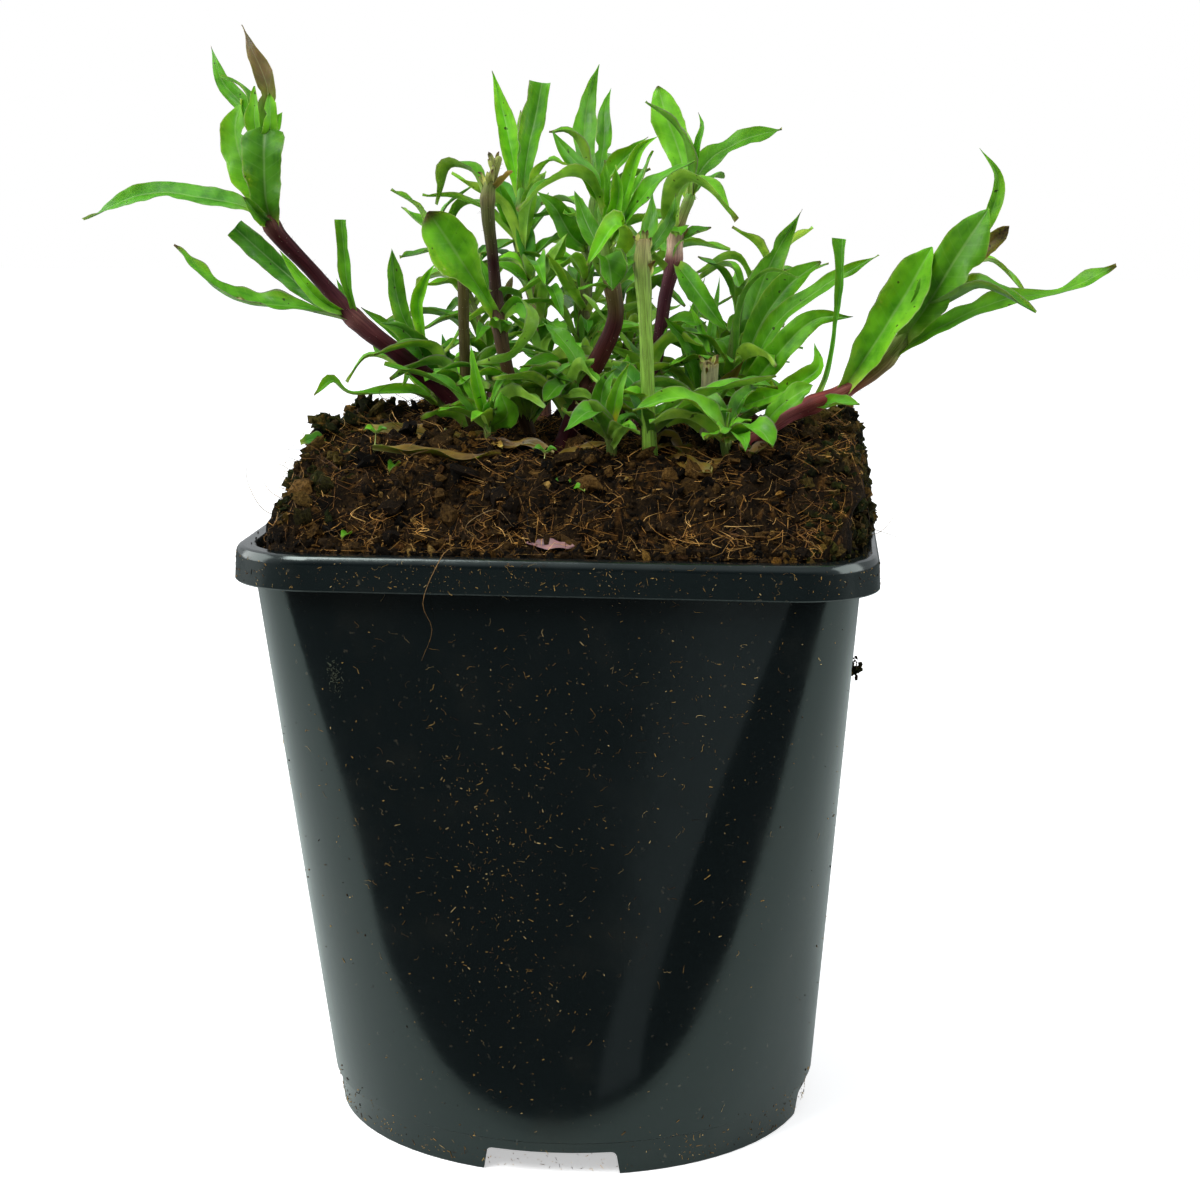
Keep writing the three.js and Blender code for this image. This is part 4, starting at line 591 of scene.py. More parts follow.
class Skin:
    """The points and faces of one piece, made into a mesh at the end."""

    MARKS = ("across", "along", "sere", "rim")

    def __init__(self) -> None:
        """Start with no faces."""
        self.dots: list[Dot] = []
        self.faces: list[tuple[int, ...]] = []
        self.finishes: list[int] = []

    def loft(self, rings: Sequence[Sequence[Dot]], finish: int = 0) -> None:
        """Join rings of equal length into a closed skin with flat ends.

        Args:
            rings: each with its dots the same way round.
            finish: which of the piece's finishes the faces have.
        """
        first, count = len(self.dots), len(rings[0])
        for ring in rings:
            self.dots.extend(ring)
        made = len(self.faces)
        for i in range(len(rings) - 1):
            row = first + i * count
            for j in range(count):
                a, b = row + j, row + (j + 1) % count
                self.faces.append((a, b, b + count, a + count))
        last = first + (len(rings) - 1) * count
        self.faces.append(tuple(range(first + count - 1, first - 1, -1)))
        self.faces.append(tuple(range(last, last + count)))
        self.finishes.extend([finish] * (len(self.faces) - made))

    def lump(self, dots: Sequence[Dot], faces: Sequence[tuple[int, ...]]) -> None:
        """Add a closed lump by its dots and faces."""
        first = len(self.dots)
        self.dots.extend(dots)
        self.faces.extend(tuple(first + i for i in face) for face in faces)
        self.finishes.extend([0] * len(faces))

    def piece(self, name: str, finishes: Sequence[bpy.types.Material], slot: str,
              stands_for: Sequence[str] = (), crease: float = 48) -> None:
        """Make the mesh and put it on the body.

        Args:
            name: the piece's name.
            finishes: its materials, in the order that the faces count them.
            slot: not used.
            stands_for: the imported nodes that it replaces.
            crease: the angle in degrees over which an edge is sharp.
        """
        mesh = bpy.data.meshes.new(name)
        mesh.from_pydata([dot.at * MM for dot in self.dots], [], self.faces)
        for mark in self.MARKS:
            values = [getattr(dot, mark) for dot in self.dots]
            if any(values):
                mesh.attributes.new(mark, "FLOAT", "POINT").data.foreach_set("value", values)
        hues = [part for dot in self.dots for part in (*dot.hue, 1.0)]
        mesh.attributes.new("hue", "FLOAT_COLOR", "POINT").data.foreach_set("color", hues)
        for finish in finishes:
            mesh.materials.append(finish)
        mesh.polygons.foreach_set("material_index", self.finishes)
        item = bpy.data.objects.new(name, mesh)
        bpy.context.scene.collection.objects.link(item)
        settled(item, stands_for, crease)


def settled(item: bpy.types.Object, stands_for: Sequence[str], crease: float) -> None:
    """Turn a piece's faces outwards, smooth it and put it on the body.

    Args:
        item: the piece, with its place in its mesh.
        stands_for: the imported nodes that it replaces.
        crease: the angle in degrees over which an edge is sharp.
    """
    shape = bmesh.new()
    shape.from_mesh(item.data)
    bmesh.ops.recalc_face_normals(shape, faces=shape.faces)
    shape.to_mesh(item.data)
    shape.free()
    chosen(item)
    bpy.ops.object.shade_smooth_by_angle(angle=math.radians(crease))
    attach(item, BODY)
    if stands_for:
        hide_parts(*stands_for)
    LOG.info("%s: %d faces", item.name, len(item.data.polygons))


def chosen(item: bpy.types.Object) -> None:
    """Select one object alone and make it active."""
    bpy.ops.object.select_all(action="DESELECT")
    item.select_set(True)
    bpy.context.view_layer.objects.active = item


def polar(angle: float, reach: float, z: float = 0) -> Vector:
    """The point at a compass angle, a distance from the middle and a height."""
    return Vector((math.cos(angle) * reach, math.sin(angle) * reach, z))


class Packed:
    """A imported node's surface, to tell how near a point lies to it."""

    def __init__(self, name: str) -> None:
        """Read the node's mesh, in millimetres."""
        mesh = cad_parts[name].data
        self.tree = BVHTree.FromPolygons([v.co / MM for v in mesh.vertices],
                                         [tuple(p.vertices) for p in mesh.polygons])

    def gap(self, point: Vector) -> float:
        """The distance from a point to the surface."""
        return self.tree.find_nearest(point)[3]


@dataclass(frozen=True)
class Section:
    """A level ring of the pot, a square with round corners: half its width, their radius, its height."""

    half: float
    corner: float
    z: float

    def point(self, place: int, steps: int) -> Vector:
        """The ring's point at a place, counted round from the right.

        Args:
            place: the point's number, from 0 to 4 * (steps + 1) - 1.
            steps: the steps in each corner.

        Returns:
            The point, in millimetres.
        """
        quarter, i = divmod(place, steps + 1)
        middle = (quarter + 0.5) * TURN / 4
        reach = (self.half - self.corner) * math.sqrt(2)
        angle = (quarter + i / steps) * TURN / 4
        return Vector((math.cos(middle) * reach + math.cos(angle) * self.corner,
                       math.sin(middle) * reach + math.sin(angle) * self.corner, self.z))

    def edge(self, angle: float) -> float:
        """How far the ring is from the pot's middle at a compass angle."""
        c, s = abs(math.cos(angle)), abs(math.sin(angle))
        long, short = max(c, s), min(c, s)
        centre = self.half - self.corner
        if self.half * short / long <= centre:
            return self.half / long
        lean = centre * (long + short)
        return lean + math.sqrt(max(lean * lean - 2 * centre * centre + self.corner**2, 0))


def circle(radius: float, z: float) -> Section:
    """A round ring of the pot."""
    return Section(radius, radius - 0.04, z)


@dataclass
class NurseryPot:
    """A pot with a round foot that grows into a square with round corners, and a turned-down rim."""

    plastic: bpy.types.Material
    straw: bpy.types.Material
    height: float = 112
    rim: float = 55
    rim_corner: float = 15
    rim_skin: float = 1.1
    neck: float = 52
    neck_corner: float = 13
    neck_z: float = 106
    foot: float = 45.2
    foot_step: float = 6.4
    wall: float = 1.1
    floor: float = 7
    underside: float = 5.4
    corner_steps: int = 20
    wall_rings: int = 16
    notch: tuple[float, float, float] = (23, 4.4, 0.8)
    slot: tuple[float, float, float] = (11, 5, 35)
    hole: tuple[float, float] = (2.6, 19)

    def wall_at(self, z: float, inset: float = 0) -> Section:
        """The wall's ring at a height, moved in by an inset."""
        share = (z - self.foot_step) / (self.neck_z - self.foot_step)
        half = mix(self.foot + 0.7, self.neck, share) - inset
        corner = mix(self.foot + 0.7, self.neck_corner, share) - inset
        return Section(half, min(corner, half - 0.04), z)

    def build(self) -> None:
        """Shape the pot from one disc, extruded ring by ring, and cut its openings."""
        rings, steps = self._rings(), self.corner_steps
        count = 4 * (steps + 1)
        bpy.ops.object.select_all(action="DESELECT")
        bpy.ops.mesh.primitive_circle_add(vertices=count, radius=self.foot * MM, fill_type="NGON",
                                          location=(0, 0, self.underside * MM))
        pot = bpy.context.object
        pot.name = "nursery_pot"
        bpy.ops.object.transform_apply(location=True, rotation=True, scale=True)
        bpy.ops.object.mode_set(mode="EDIT")
        shape = bmesh.from_edit_mesh(pot.data)
        order = sorted(shape.verts, key=lambda v: math.atan2(v.co.y, v.co.x) % TURN)
        self._place(order, rings[0])
        for last, ring in zip(rings, rings[1:]):
            bpy.ops.mesh.extrude_region_move(TRANSFORM_OT_translate={"value": (0, 0, 0)})
            shape = bmesh.from_edit_mesh(pot.data)
            known = [last.point(i, steps) * MM for i in range(count)]
            moved = {min(range(count), key=lambda i: (known[i] - vert.co).length_squared): vert
                     for vert in shape.verts if vert.select}
            self._place([moved[i] for i in range(count)], ring)
            bmesh.update_edit_mesh(pot.data)
        bpy.ops.object.mode_set(mode="OBJECT")
        for cutter in self._cutters():
            chosen(pot)
            cut = pot.modifiers.new("opening", "BOOLEAN")
            cut.object, cut.operation, cut.solver = cutter, "DIFFERENCE", "EXACT"
            bpy.ops.object.modifier_apply(modifier=cut.name)
            bpy.data.objects.remove(cutter)
        pot.data.name = "nursery_pot"
        pot.data.materials.append(self.plastic)
        settled(pot, ("pot",), crease=32)

    def _place(self, verts: Sequence[bmesh.types.BMVert], ring: Section) -> None:
        """Put the vertices of a ring at its points."""
        for i, vert in enumerate(verts):
            vert.co = ring.point(i, self.corner_steps) * MM

    def _rings(self) -> list[Section]:
        """The rings from the foot's recess, up the outside, over the rim and down the inside."""
        inner = self.foot - self.wall - 0.2
        rim, corner, skin = self.rim, self.rim_corner, self.rim_skin
        walls = [mix(self.foot_step, self.neck_z, i / self.wall_rings) for i in range(self.wall_rings + 1)]
        return [
            circle(inner - 0.6, self.underside), circle(inner, 0.3), circle(inner + 0.15, 0),
            circle(self.foot - 0.9, 0), circle(self.foot - 0.65, 0.25),
            circle(self.foot, self.foot_step - 0.5), circle(self.foot + 0.08, self.foot_step - 0.25),
            *(self.wall_at(z) for z in (self.foot_step + 0.15, *walls[1:])),
            self.wall_at(self.height - skin),
            Section(rim - skin, corner - skin, self.height - skin),
            Section(rim - skin + 0.3, corner - skin, self.neck_z + 0.2),
            Section(rim - skin + 0.5, corner - skin, self.neck_z),
            Section(rim + 0.1, corner, self.neck_z), Section(rim + 0.3, corner, self.neck_z + 0.25),
            Section(rim + 0.285, corner, self.neck_z + 0.55), Section(rim + 0.11, corner, self.height - 1.6),
            Section(rim + 0.09, corner, self.height - 1.2), Section(rim - 0.05, corner, self.height - 0.65),
            Section(rim - 0.35, corner - 0.3, self.height - 0.2), Section(rim - 0.9, corner - 0.8, self.height),
            Section(rim - 1.2, corner - 1, self.height),
            Section(self.neck + 0.3, self.neck_corner + 0.3, self.height),
            Section(self.neck - 0.1, self.neck_corner, self.height - 0.3),
            self.wall_at(self.height - 1.4, self.wall),
            *(self.wall_at(z, self.wall) for z in reversed(walls[1:])),
            self.wall_at(self.floor + 0.8, self.wall), circle(inner - 1.2, self.floor),
        ]

    def _cutters(self) -> Iterator[bpy.types.Object]:
        """The notches of the foot and the drain openings of the floor, one after the other."""
        wide, high, notch_flare = self.notch
        long, short, radius = self.slot
        for i in range(4):
            for place, size, flare, upright, bevel, segments in (
                    ((0, -self.foot + 4, high / 2 - 0.5), (wide, 20, high + 1), notch_flare, False, 0.9, 3),
                    ((0, radius, self.floor), (long, short, 10), 0, True, 2, 4)):
                bpy.ops.mesh.primitive_cube_add(size=1, location=[p * MM for p in place],
                                                scale=[s * MM for s in size])
                box = bpy.context.object
                bpy.ops.object.transform_apply(location=True, rotation=True, scale=True)
                for vert in box.data.vertices:
                    if vert.co.z < 0:
                        vert.co.x += math.copysign(flare * MM, vert.co.x)
                bpy.ops.object.mode_set(mode="EDIT")
                bpy.ops.mesh.select_mode(type="EDGE")
                bpy.ops.mesh.select_all(action="DESELECT")
                shape = bmesh.from_edit_mesh(box.data)
                for edge in shape.edges:
                    a, b = (v.co for v in edge.verts)
                    edge.select = abs(a.z - b.z) > 0.005 if upright else min(a.z, b.z) > 0 and abs(a.y - b.y) > 0.01
                bmesh.update_edit_mesh(box.data)
                bpy.ops.mesh.bevel(offset=bevel * MM, segments=segments, affect="EDGES")
                bpy.ops.object.mode_set(mode="OBJECT")
                box.data.transform(Matrix.Rotation(i * TURN / 4, 4, "Z"))
                yield box
            angle = (i + 0.5) * TURN / 4
            bpy.ops.mesh.primitive_cylinder_add(vertices=24, radius=self.hole[0] * MM, depth=10 * MM, location=(
                math.cos(angle) * self.hole[1] * MM, math.sin(angle) * self.hole[1] * MM, self.floor * MM))
            yield bpy.context.object

    def on_wall(self, angle: float, z: float, out: float = 0) -> Vector:
        """A point on the outside, at a compass angle and a height.

        Args:
            angle: the compass angle.
            z: the height.
            out: how far it stands off the surface.

        Returns:
            The point, in millimetres.
        """
        if z < self.foot_step:
            reach = mix(self.foot - 0.7, self.foot, z / self.foot_step)
        elif z > self.neck_z:
            reach = Section(self.rim + 0.3 * (self.height - z) / 6, self.rim_corner, z).edge(angle)
        else:
            reach = self.wall_at(z).edge(angle)
        return polar(angle, reach + out, z)

    def soil_specks(self, draw: random.Random) -> None:
        """Straw chips and peat dust that cling to the outside.

        Args:
            draw: its random numbers.
        """
        skin = Skin()
        tones = [linear(code) for code in ("#c29a50", "#d0ab5c", "#9d7a3c", "#6b5230", "#dcc488", "#4a3520")]
        for kind, count in (("cluster", 620), ("high", 240), ("front", 240), ("rim", 400), ("round", 460),
                            ("foot", 780), ("smudge", 110)):
            for _ in range(count):
                angle, z = draw.uniform(0, TURN), draw.triangular(8, 104, 80)
                if kind == "cluster":
                    x, z = draw.gauss(-9, 8), min(max(draw.gauss(58, 22), 12), 103)
                    x += 4 * noise.noise(Vector((z / 9, 0, 0)))
                    angle = math.atan2(-50, x)
                elif kind == "smudge":
                    angle, z = math.atan2(-50, draw.gauss(-36, 0.8)), draw.gauss(91, 1.6)
                elif kind == "high":
                    x, z = draw.gauss(16, 14), min(draw.gauss(92, 9), 105)
                    angle = math.atan2(-50, x)
                elif kind == "front":
                    angle = math.atan2(-50, draw.uniform(-46, 46))
                elif kind == "rim":
                    angle, z = draw.uniform(-0.95, 0.95) - TURN / 4, draw.uniform(106.6, 111)
                elif kind == "foot":
                    z = draw.uniform(0.8, 9) * draw.random() + 1
                long = min(0.07 + draw.expovariate(3.5 if kind == "foot" else 6), 1.3)
                tone = linear("#5d6656") if kind == "smudge" else draw.choice(tones)
                self._speck(skin, draw, angle, z, long, tone)
        for _ in range(200):
            angle, z = math.atan2(-50, draw.gauss(-4, 22)), min(max(draw.gauss(76, 26), 6), 111)
            way, points = draw.uniform(0, TURN), []
            for _ in range(6):
                points.append(self.on_wall(angle, z, 0.06))
                way += draw.gauss(0, 0.7)
                angle, z = angle + 0.006 * math.cos(way), min(z + 0.3 * math.sin(way), 111.5)
            thread(skin, points, draw.uniform(0.02, 0.05), shaded(draw.choice(tones), draw.uniform(0.4, 1)))
        skin.piece("pot_specks", (self.straw,), "peat_soil", crease=30)

    def _speck(self, skin: Skin, draw: random.Random, angle: float, z: float, long: float,
               hue: Rgb) -> None:
        """Add a flat chip that lies on the wall."""
        middle = self.on_wall(angle, z, 0.03)
        level = (self.on_wall(angle + 0.004, z, 0.03) - middle).normalized()
        rise = (self.on_wall(angle, z + 0.3, 0.03) - self.on_wall(angle, z - 0.3, 0.03)).normalized()
        tilt = draw.uniform(0, TURN)
        way = level * math.cos(tilt) + rise * math.sin(tilt)
        side = level * -math.sin(tilt) + rise * math.cos(tilt)
        off = level.cross(rise) * draw.uniform(0.05, 0.1)
        wide = draw.uniform(0.03, 0.08)
        hue = shaded(hue, 0.25 + 0.95 * draw.random() ** 1.3)
        dots = [Dot(middle + way * long * u / 2 + side * wide * v / 2 + off * w, hue)
                for u in (-1, 1) for v in (-1, 1) for w in (-0.6, 1)]
        skin.lump(dots, ((0, 1, 3, 2), (4, 6, 7, 5), (0, 4, 5, 1), (2, 3, 7, 6), (0, 2, 6, 4), (1, 5, 7, 3)))


def bent(leaf: Leaf, bend: float) -> Leaf:
    """The leaf bent a little, in depth or round its root.

    Args:
        leaf: the leaf as it is listed.
        bend: millimetres of depth at the tip, or degrees.

    Returns:
        The bent leaf.
    """
    root = Vector(leaf.rib[0])
    last = len(leaf.rib) - 1
    if leaf.turns:
        turn = Matrix.Rotation(math.radians(bend), 3, "Z")
        return replace(leaf, rib=tuple(tuple(root + turn @ (Vector(p) - root)) for p in leaf.rib))
    return replace(leaf, rib=tuple((x, y + bend * i / last, z) for i, (x, y, z) in enumerate(leaf.rib)))


def as_packed(leaf: Leaf, packed: Packed) -> Leaf | None:
    """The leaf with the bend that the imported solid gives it.

    Args:
        leaf: the leaf as it is listed.
        packed: the shoot's solid.

    Returns:
        The bent leaf, or None if the solid leaves it off.
    """
    inside, at_tip = 0.64, 0.3
    best: tuple[float, Leaf] | None = None
    for bend in TURN_BENDS if leaf.turns else DEPTH_BENDS:
        tried = bent(leaf, bend)
        gap = packed.gap(Vector(tried.rib[-1]))
        if gap > at_tip or (best and gap >= best[0] - 0.01):
            continue
        spine = Spine(tried.rib)
        if all(packed.gap(spine.at(t)) < inside for t in (0.4, 0.6, 0.8)):
            best = (gap, tried)
    return best[1] if best else None


def rule_leaf(root: Point, angle: float, length: float, wide: float, rise: float, droop: float,
              form: Form) -> Leaf:
    """A leaf that grows out at a compass angle, rising first and then arching over.

    Args:
        root: the stem's middle.
        angle: the compass angle.
        length: the leaf's length.
        wide: its full width.
        rise: the first half's slope.
        droop: the second half's slope.
        form: the outline.

    Returns:
        The leaf.
    """
    half = length / 2
    level = polar(angle, 1)
    start = Vector(root)
    mid = start + level * half * math.cos(rise) + Vector(UP) * half * math.sin(rise)
    tip = mid + level * half * math.cos(droop) + Vector(UP) * half * math.sin(droop)
    return Leaf((tuple(start), tuple(mid), tuple(tip)), wide, UP, form, turns=True)


def basal_leaves(shoot: Shoot) -> list[Leaf]:
    """The leaves that a shoot grows by rule at the soil."""
    draw = draws(shoot.basal.seed)
    crown = next(point for point in shoot.stem if point[2] > REAR_SOIL_Z - 1)
    start = next(draw) * TURN
    leaves = []
    for i in range(shoot.basal.count):
        root = (crown[0], crown[1], max(crown[2], REAR_SOIL_Z) + 2.5 * next(draw))
        length, wide = mix(15, 25, next(draw)), mix(2.8, 4.2, next(draw))
        rise, droop = mix(0.55, 1.1, next(draw)), mix(-0.5, 0.35, next(draw))
        form = LANCE if next(draw) < 0.6 else STRAP
        leaves.append(rule_leaf(root, start + i * GOLDEN_ANGLE, length, wide, rise, droop, form))
    return leaves


def rear_shoot(name: str, foot: tuple[float, float], lean: tuple[float, float], height: float,
               seed: int, basal: Basal) -> Shoot:
    """A shoot at the back, with pairs of leaves at right angles up its stem.

    Args:
        name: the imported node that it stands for.
        foot: where it stands.
        lean: how far its top leans from its foot.
        height: how far it rises.
        seed: its random seed.
        basal: its leaves at the soil.

    Returns:
        The shoot.
    """
    draw = draws(seed)

    def at(share: float) -> Point:
        """The stem's middle at a share of its height."""
        return (foot[0] + lean[0] * share * share, foot[1] + lean[1] * share * share,
                REAR_SOIL_Z + height * share)

    leaves = []
    for pair in range(REAR_PAIRS):
        turn = pair * math.pi / 2 + next(draw) * 0.5
        size = 0.82**pair
        for side in (0, math.pi):
            length = 21 * size * mix(0.85, 1.15, next(draw))
            leaves.append(rule_leaf(at((pair + 1) / REAR_PAIRS), turn + side, length, 4.2 * size,
                                    0.75 + 0.2 * pair, 0.35 * pair - 0.1, LANCE))
    stem = ((*foot, REAR_ROOT_Z), (*foot, REAR_SOIL_Z), at(0.35), at(0.7), at(1))
    return Shoot(name, stem, (1.7, 1.7, 1.4, 1.3, 0.8), REAR_BARK, basal, tuple(leaves))


@dataclass(frozen=True)
class Crowd:
    """Small leaves that crowd a stem between its larger ones.

    Args:
        low: the share of the stem's height where they begin.
        high: the share where they end.
        pairs: how many pairs there are.
        length: the shortest and the longest.
    """

    low: float
    high: float
    pairs: int
    length: tuple[float, float]

    def leaves(self, shoot: Shoot, draw: random.Random) -> Iterator[Leaf]:
        """Grow the leaves, each pair turned from the one below."""
        spine = Spine(shoot.stem)
        turn = draw.uniform(0, TURN)
        for pair in range(self.pairs):
            share = mix(self.low, self.high, (pair + draw.uniform(0.1, 0.9)) / self.pairs)
            root = tuple(spine.at(spine.place(share)))
            turn += TURN / 4 + draw.uniform(-0.4, 0.4)
            for side in (0, math.pi):
                yield rule_leaf(root, turn + side + draw.uniform(-0.3, 0.3), draw.uniform(*self.length),
                                draw.uniform(2.4, 4.3), draw.uniform(0.45, 1.25), draw.uniform(-0.7, 0.7),
                                draw.choice((LANCE, LANCE, STRAP, BLUNT)))


CROWDS = {
    "shoot_left_low": (Crowd(0.2, 0.8, 6, (10, 19)),),
    "stub_left": (Crowd(0.15, 0.4, 2, (9, 14)),),
    "shoot_dry_top": (Crowd(0.17, 0.3, 4, (11, 18)), Crowd(0.42, 0.6, 2, (5, 9))),
    "shoot_centre": (Crowd(0.18, 0.32, 4, (11, 18)), Crowd(0.6, 0.8, 2, (9, 15))),
    "stub_centre": (Crowd(0.15, 0.3, 2, (8, 13)),),
    "shoot_centre_right": (Crowd(0.18, 0.45, 6, (12, 22)), Crowd(0.7, 0.9, 2, (9, 14))),
    "tuft_right_low": (Crowd(0.35, 0.9, 4, (10, 16)),),
    "shoot_right": (Crowd(0.25, 0.7, 6, (12, 21)),),
    "stub_right": (Crowd(0.3, 0.5, 2, (8, 13)),),
    "shoot_back_left": (Crowd(0.2, 0.85, 13, (15, 27)),),
    "shoot_back": (Crowd(0.2, 0.85, 13, (15, 27)),),
    "tuft_front_right": (Crowd(0.6, 0.95, 2, (6, 11)),),
    "tuft_front_left": (Crowd(0.6, 0.95, 3, (7, 13)),),
    "tuft_middle": (Crowd(0.6, 0.95, 2, (7, 12)),),
    "shoot_rear_left": (Crowd(0.25, 0.9, 8, (13, 22)),),
    "shoot_rear_middle": (Crowd(0.25, 0.95, 9, (13, 23)),),
    "shoot_rear_right": (Crowd(0.25, 0.9, 8, (13, 22)),),
}


@dataclass
class Blade:
    """The fine skin of one leaf: a channelled, twisted blade with a sunk rib and uneven margins."""

    leaf: Leaf
    draw: random.Random
    step: float = 1.0
    wave: float = 0.1
    waves: float = 2.1
    thick: float = 0.2
    margin: float = 0.12
    TOP = (-1, -0.9, -0.7, -0.45, -0.22, -0.08, 0, 0.08, 0.22, 0.45, 0.7, 0.9, 1)
    BELOW = (0.9, 0.6, 0.32, 0.13, 0, -0.13, -0.32, -0.6, -0.9)

    def rings(self) -> list[list[Dot]]:
        """The blade's cross-sections from root to tip."""
        leaf, draw = self.leaf, self.draw
        spine = Spine(leaf.rib)
        steps = min(max(round(spine.length / self.step), 9), 48) * (2 if leaf.hole else 1)
        places = spine.walk(steps)
        ways = tangents(places)
        uppers = upper_sides(ways, leaf.face)
        upper, lower = (shaded(linear(code), draw.uniform(0.7, 1.22)) for code in leaf.tint.value)
        if leaf.tint in Plant.TINTS:
            upper = blend(upper, linear(YOUNG.value[0]), 0.6 * draw.random() ** 2)
        self.ragged = draw.uniform(0, 100)
        self.purple = draw.random() ** 1.3
        self.bites = [(draw.uniform(0.3, 0.92), draw.choice((-1, 1)), draw.uniform(0.15, 0.5))
                      for _ in range(draw.choice((0, 0, 1, 1, 2)))]
        hook = draw.uniform(-1.7, 1.1) * min(spine.length / 20, 1)
        self.dry = leaf.sere or (draw.uniform(0.012, 0.05) if draw.random() < 0.4 else 0)
        self.fold = draw.uniform(0.22, 0.75)
        self.roll = draw.uniform(-0.5, 0.35)
        twist = min(max(draw.gauss(0, 0.5 if leaf.turns else 0.3), -0.9), 0.9)
        rings = []
        for i, place in enumerate(places):
            share = i / steps
            lean = twist * share + 0.16 * noise.noise(Vector((share * spine.length / 7, self.ragged, 0)))
            turn = Matrix.Rotation(lean * step(0, 0.3, share), 3, ways[i])
            up = turn @ uppers[i]
            side = ways[i].cross(up)
            sway = 0.4 * math.sin(math.pi * share) * noise.noise(Vector((share * spine.length / 5, 0, self.ragged)))
            sway += hook * step(0.68, 1, share) ** 1.5
            rings.append(self._section(place + up * sway, side, up, share, spine.length, upper, lower))
        return rings

    def _half(self, share: float, way: int) -> float:
        """Half the width at a share of the length, on one side."""
        half = self.leaf.wide * max(smooth_along(self.leaf.form.value, share), 0.05) / 2
        if not self.leaf.form.snipped and share > 0.86:
            half *= math.sqrt(max(1 - ((share - 0.86) / 0.14) ** 2, 0.0)) * 0.88 + 0.12
        nick = noise.noise(Vector((share * 5, way * 3.7, self.ragged)))
        nick += 0.6 * noise.noise(Vector((share * 13, way * 1.9, self.ragged)))
        for at, side, deep in self.bites:
            half *= 1 - deep * math.exp(-(((share - at) / 0.04) ** 2)) * (side == way)
        return half * (1 + 0.2 * nick)

    def _section(self, place: Vector, side: Vector, up: Vector, share: float, length: float,
                 upper: Rgb, lower: Rgb) -> list[Dot]:
        """One cross-section, its upper side from left to right and then its underside back."""
        wide = self.leaf.wide
        halves = {-1: self._half(share, -1), 1: self._half(share, 1)}
        full = (halves[-1] + halves[1]) / 2
        wave = min(share * 4, 1) * self.wave * wide * math.sin(TURN * self.waves * share + length)
        rib = (0.2 + 0.05 * wide) * (1 - 0.75 * share)
        base = 1 - step(0, 0.24, share)
        pale = linear("#a9ab72")

        def top(s: float) -> float:
            """The upper side's height at a place across."""
            reach = abs(s)
            pucker = 0.13 * noise.noise(Vector((share * length / 1.7, s * 1.3, self.ragged + 5)))
            pucker = pucker * (1 - s * s) * reach
            groove = 0.12 * math.exp(-((s / 0.1) ** 2)) * (1 - share)
            frill = 0.11 * wide * noise.noise(Vector((share * length / 3.4, s, self.ragged))) * s * s
            rolled = self.roll * full * max(reach - 0.45, 0) ** 2 * 2
            return self.fold * full * reach**1.4 + rolled - s * reach * wave + pucker * 2 - groove + frill + 0.1

        def dot(s: float, height: float, colour: Rgb) -> Dot:
            """The dot at a place across and a height."""
            half = halves[-1 if s < 0 else 1] * (1 - 0.12 * self.fold * abs(s))
            dry = 1.5 * (share - 1 + self.dry) / self.dry if self.dry else 0.0
            colour = blend(colour, pale, 0.45 * base)
            if self.leaf.tint is PURPLE:
                colour = blend(linear(GREEN.value[0]), colour, step(0.1, 0.6, share))
            if self.leaf.stain:
                colour = blend(colour, linear("#a5791f"), step(0.5, 0.1, share) * step(-0.6, 0.5, s))
            if self.leaf.hole:
                away = math.hypot((share - self.leaf.hole[0]) * length, (s - self.leaf.hole[1]) * half)
                colour = blend(colour, linear("#4a3320"), step(1.25, 0.8, away))
                colour = blend(colour, linear("#e9e7da"), step(0.7, 0.45, away))
            return Dot(place + side * half * s + up * height, colour, s,
                       share * length, min(max(dry, 0.0), 1.0), self.purple)

        section = [dot(s, top(s), upper if abs(s) < 1 else blend(upper, lower, 0.5)) for s in self.TOP]
        for s in self.BELOW:
            depth = mix(self.thick, self.margin, abs(s)) + rib * math.exp(-((s / 0.17) ** 2))
            section.append(dot(s, top(s) - depth, lower))
        return section


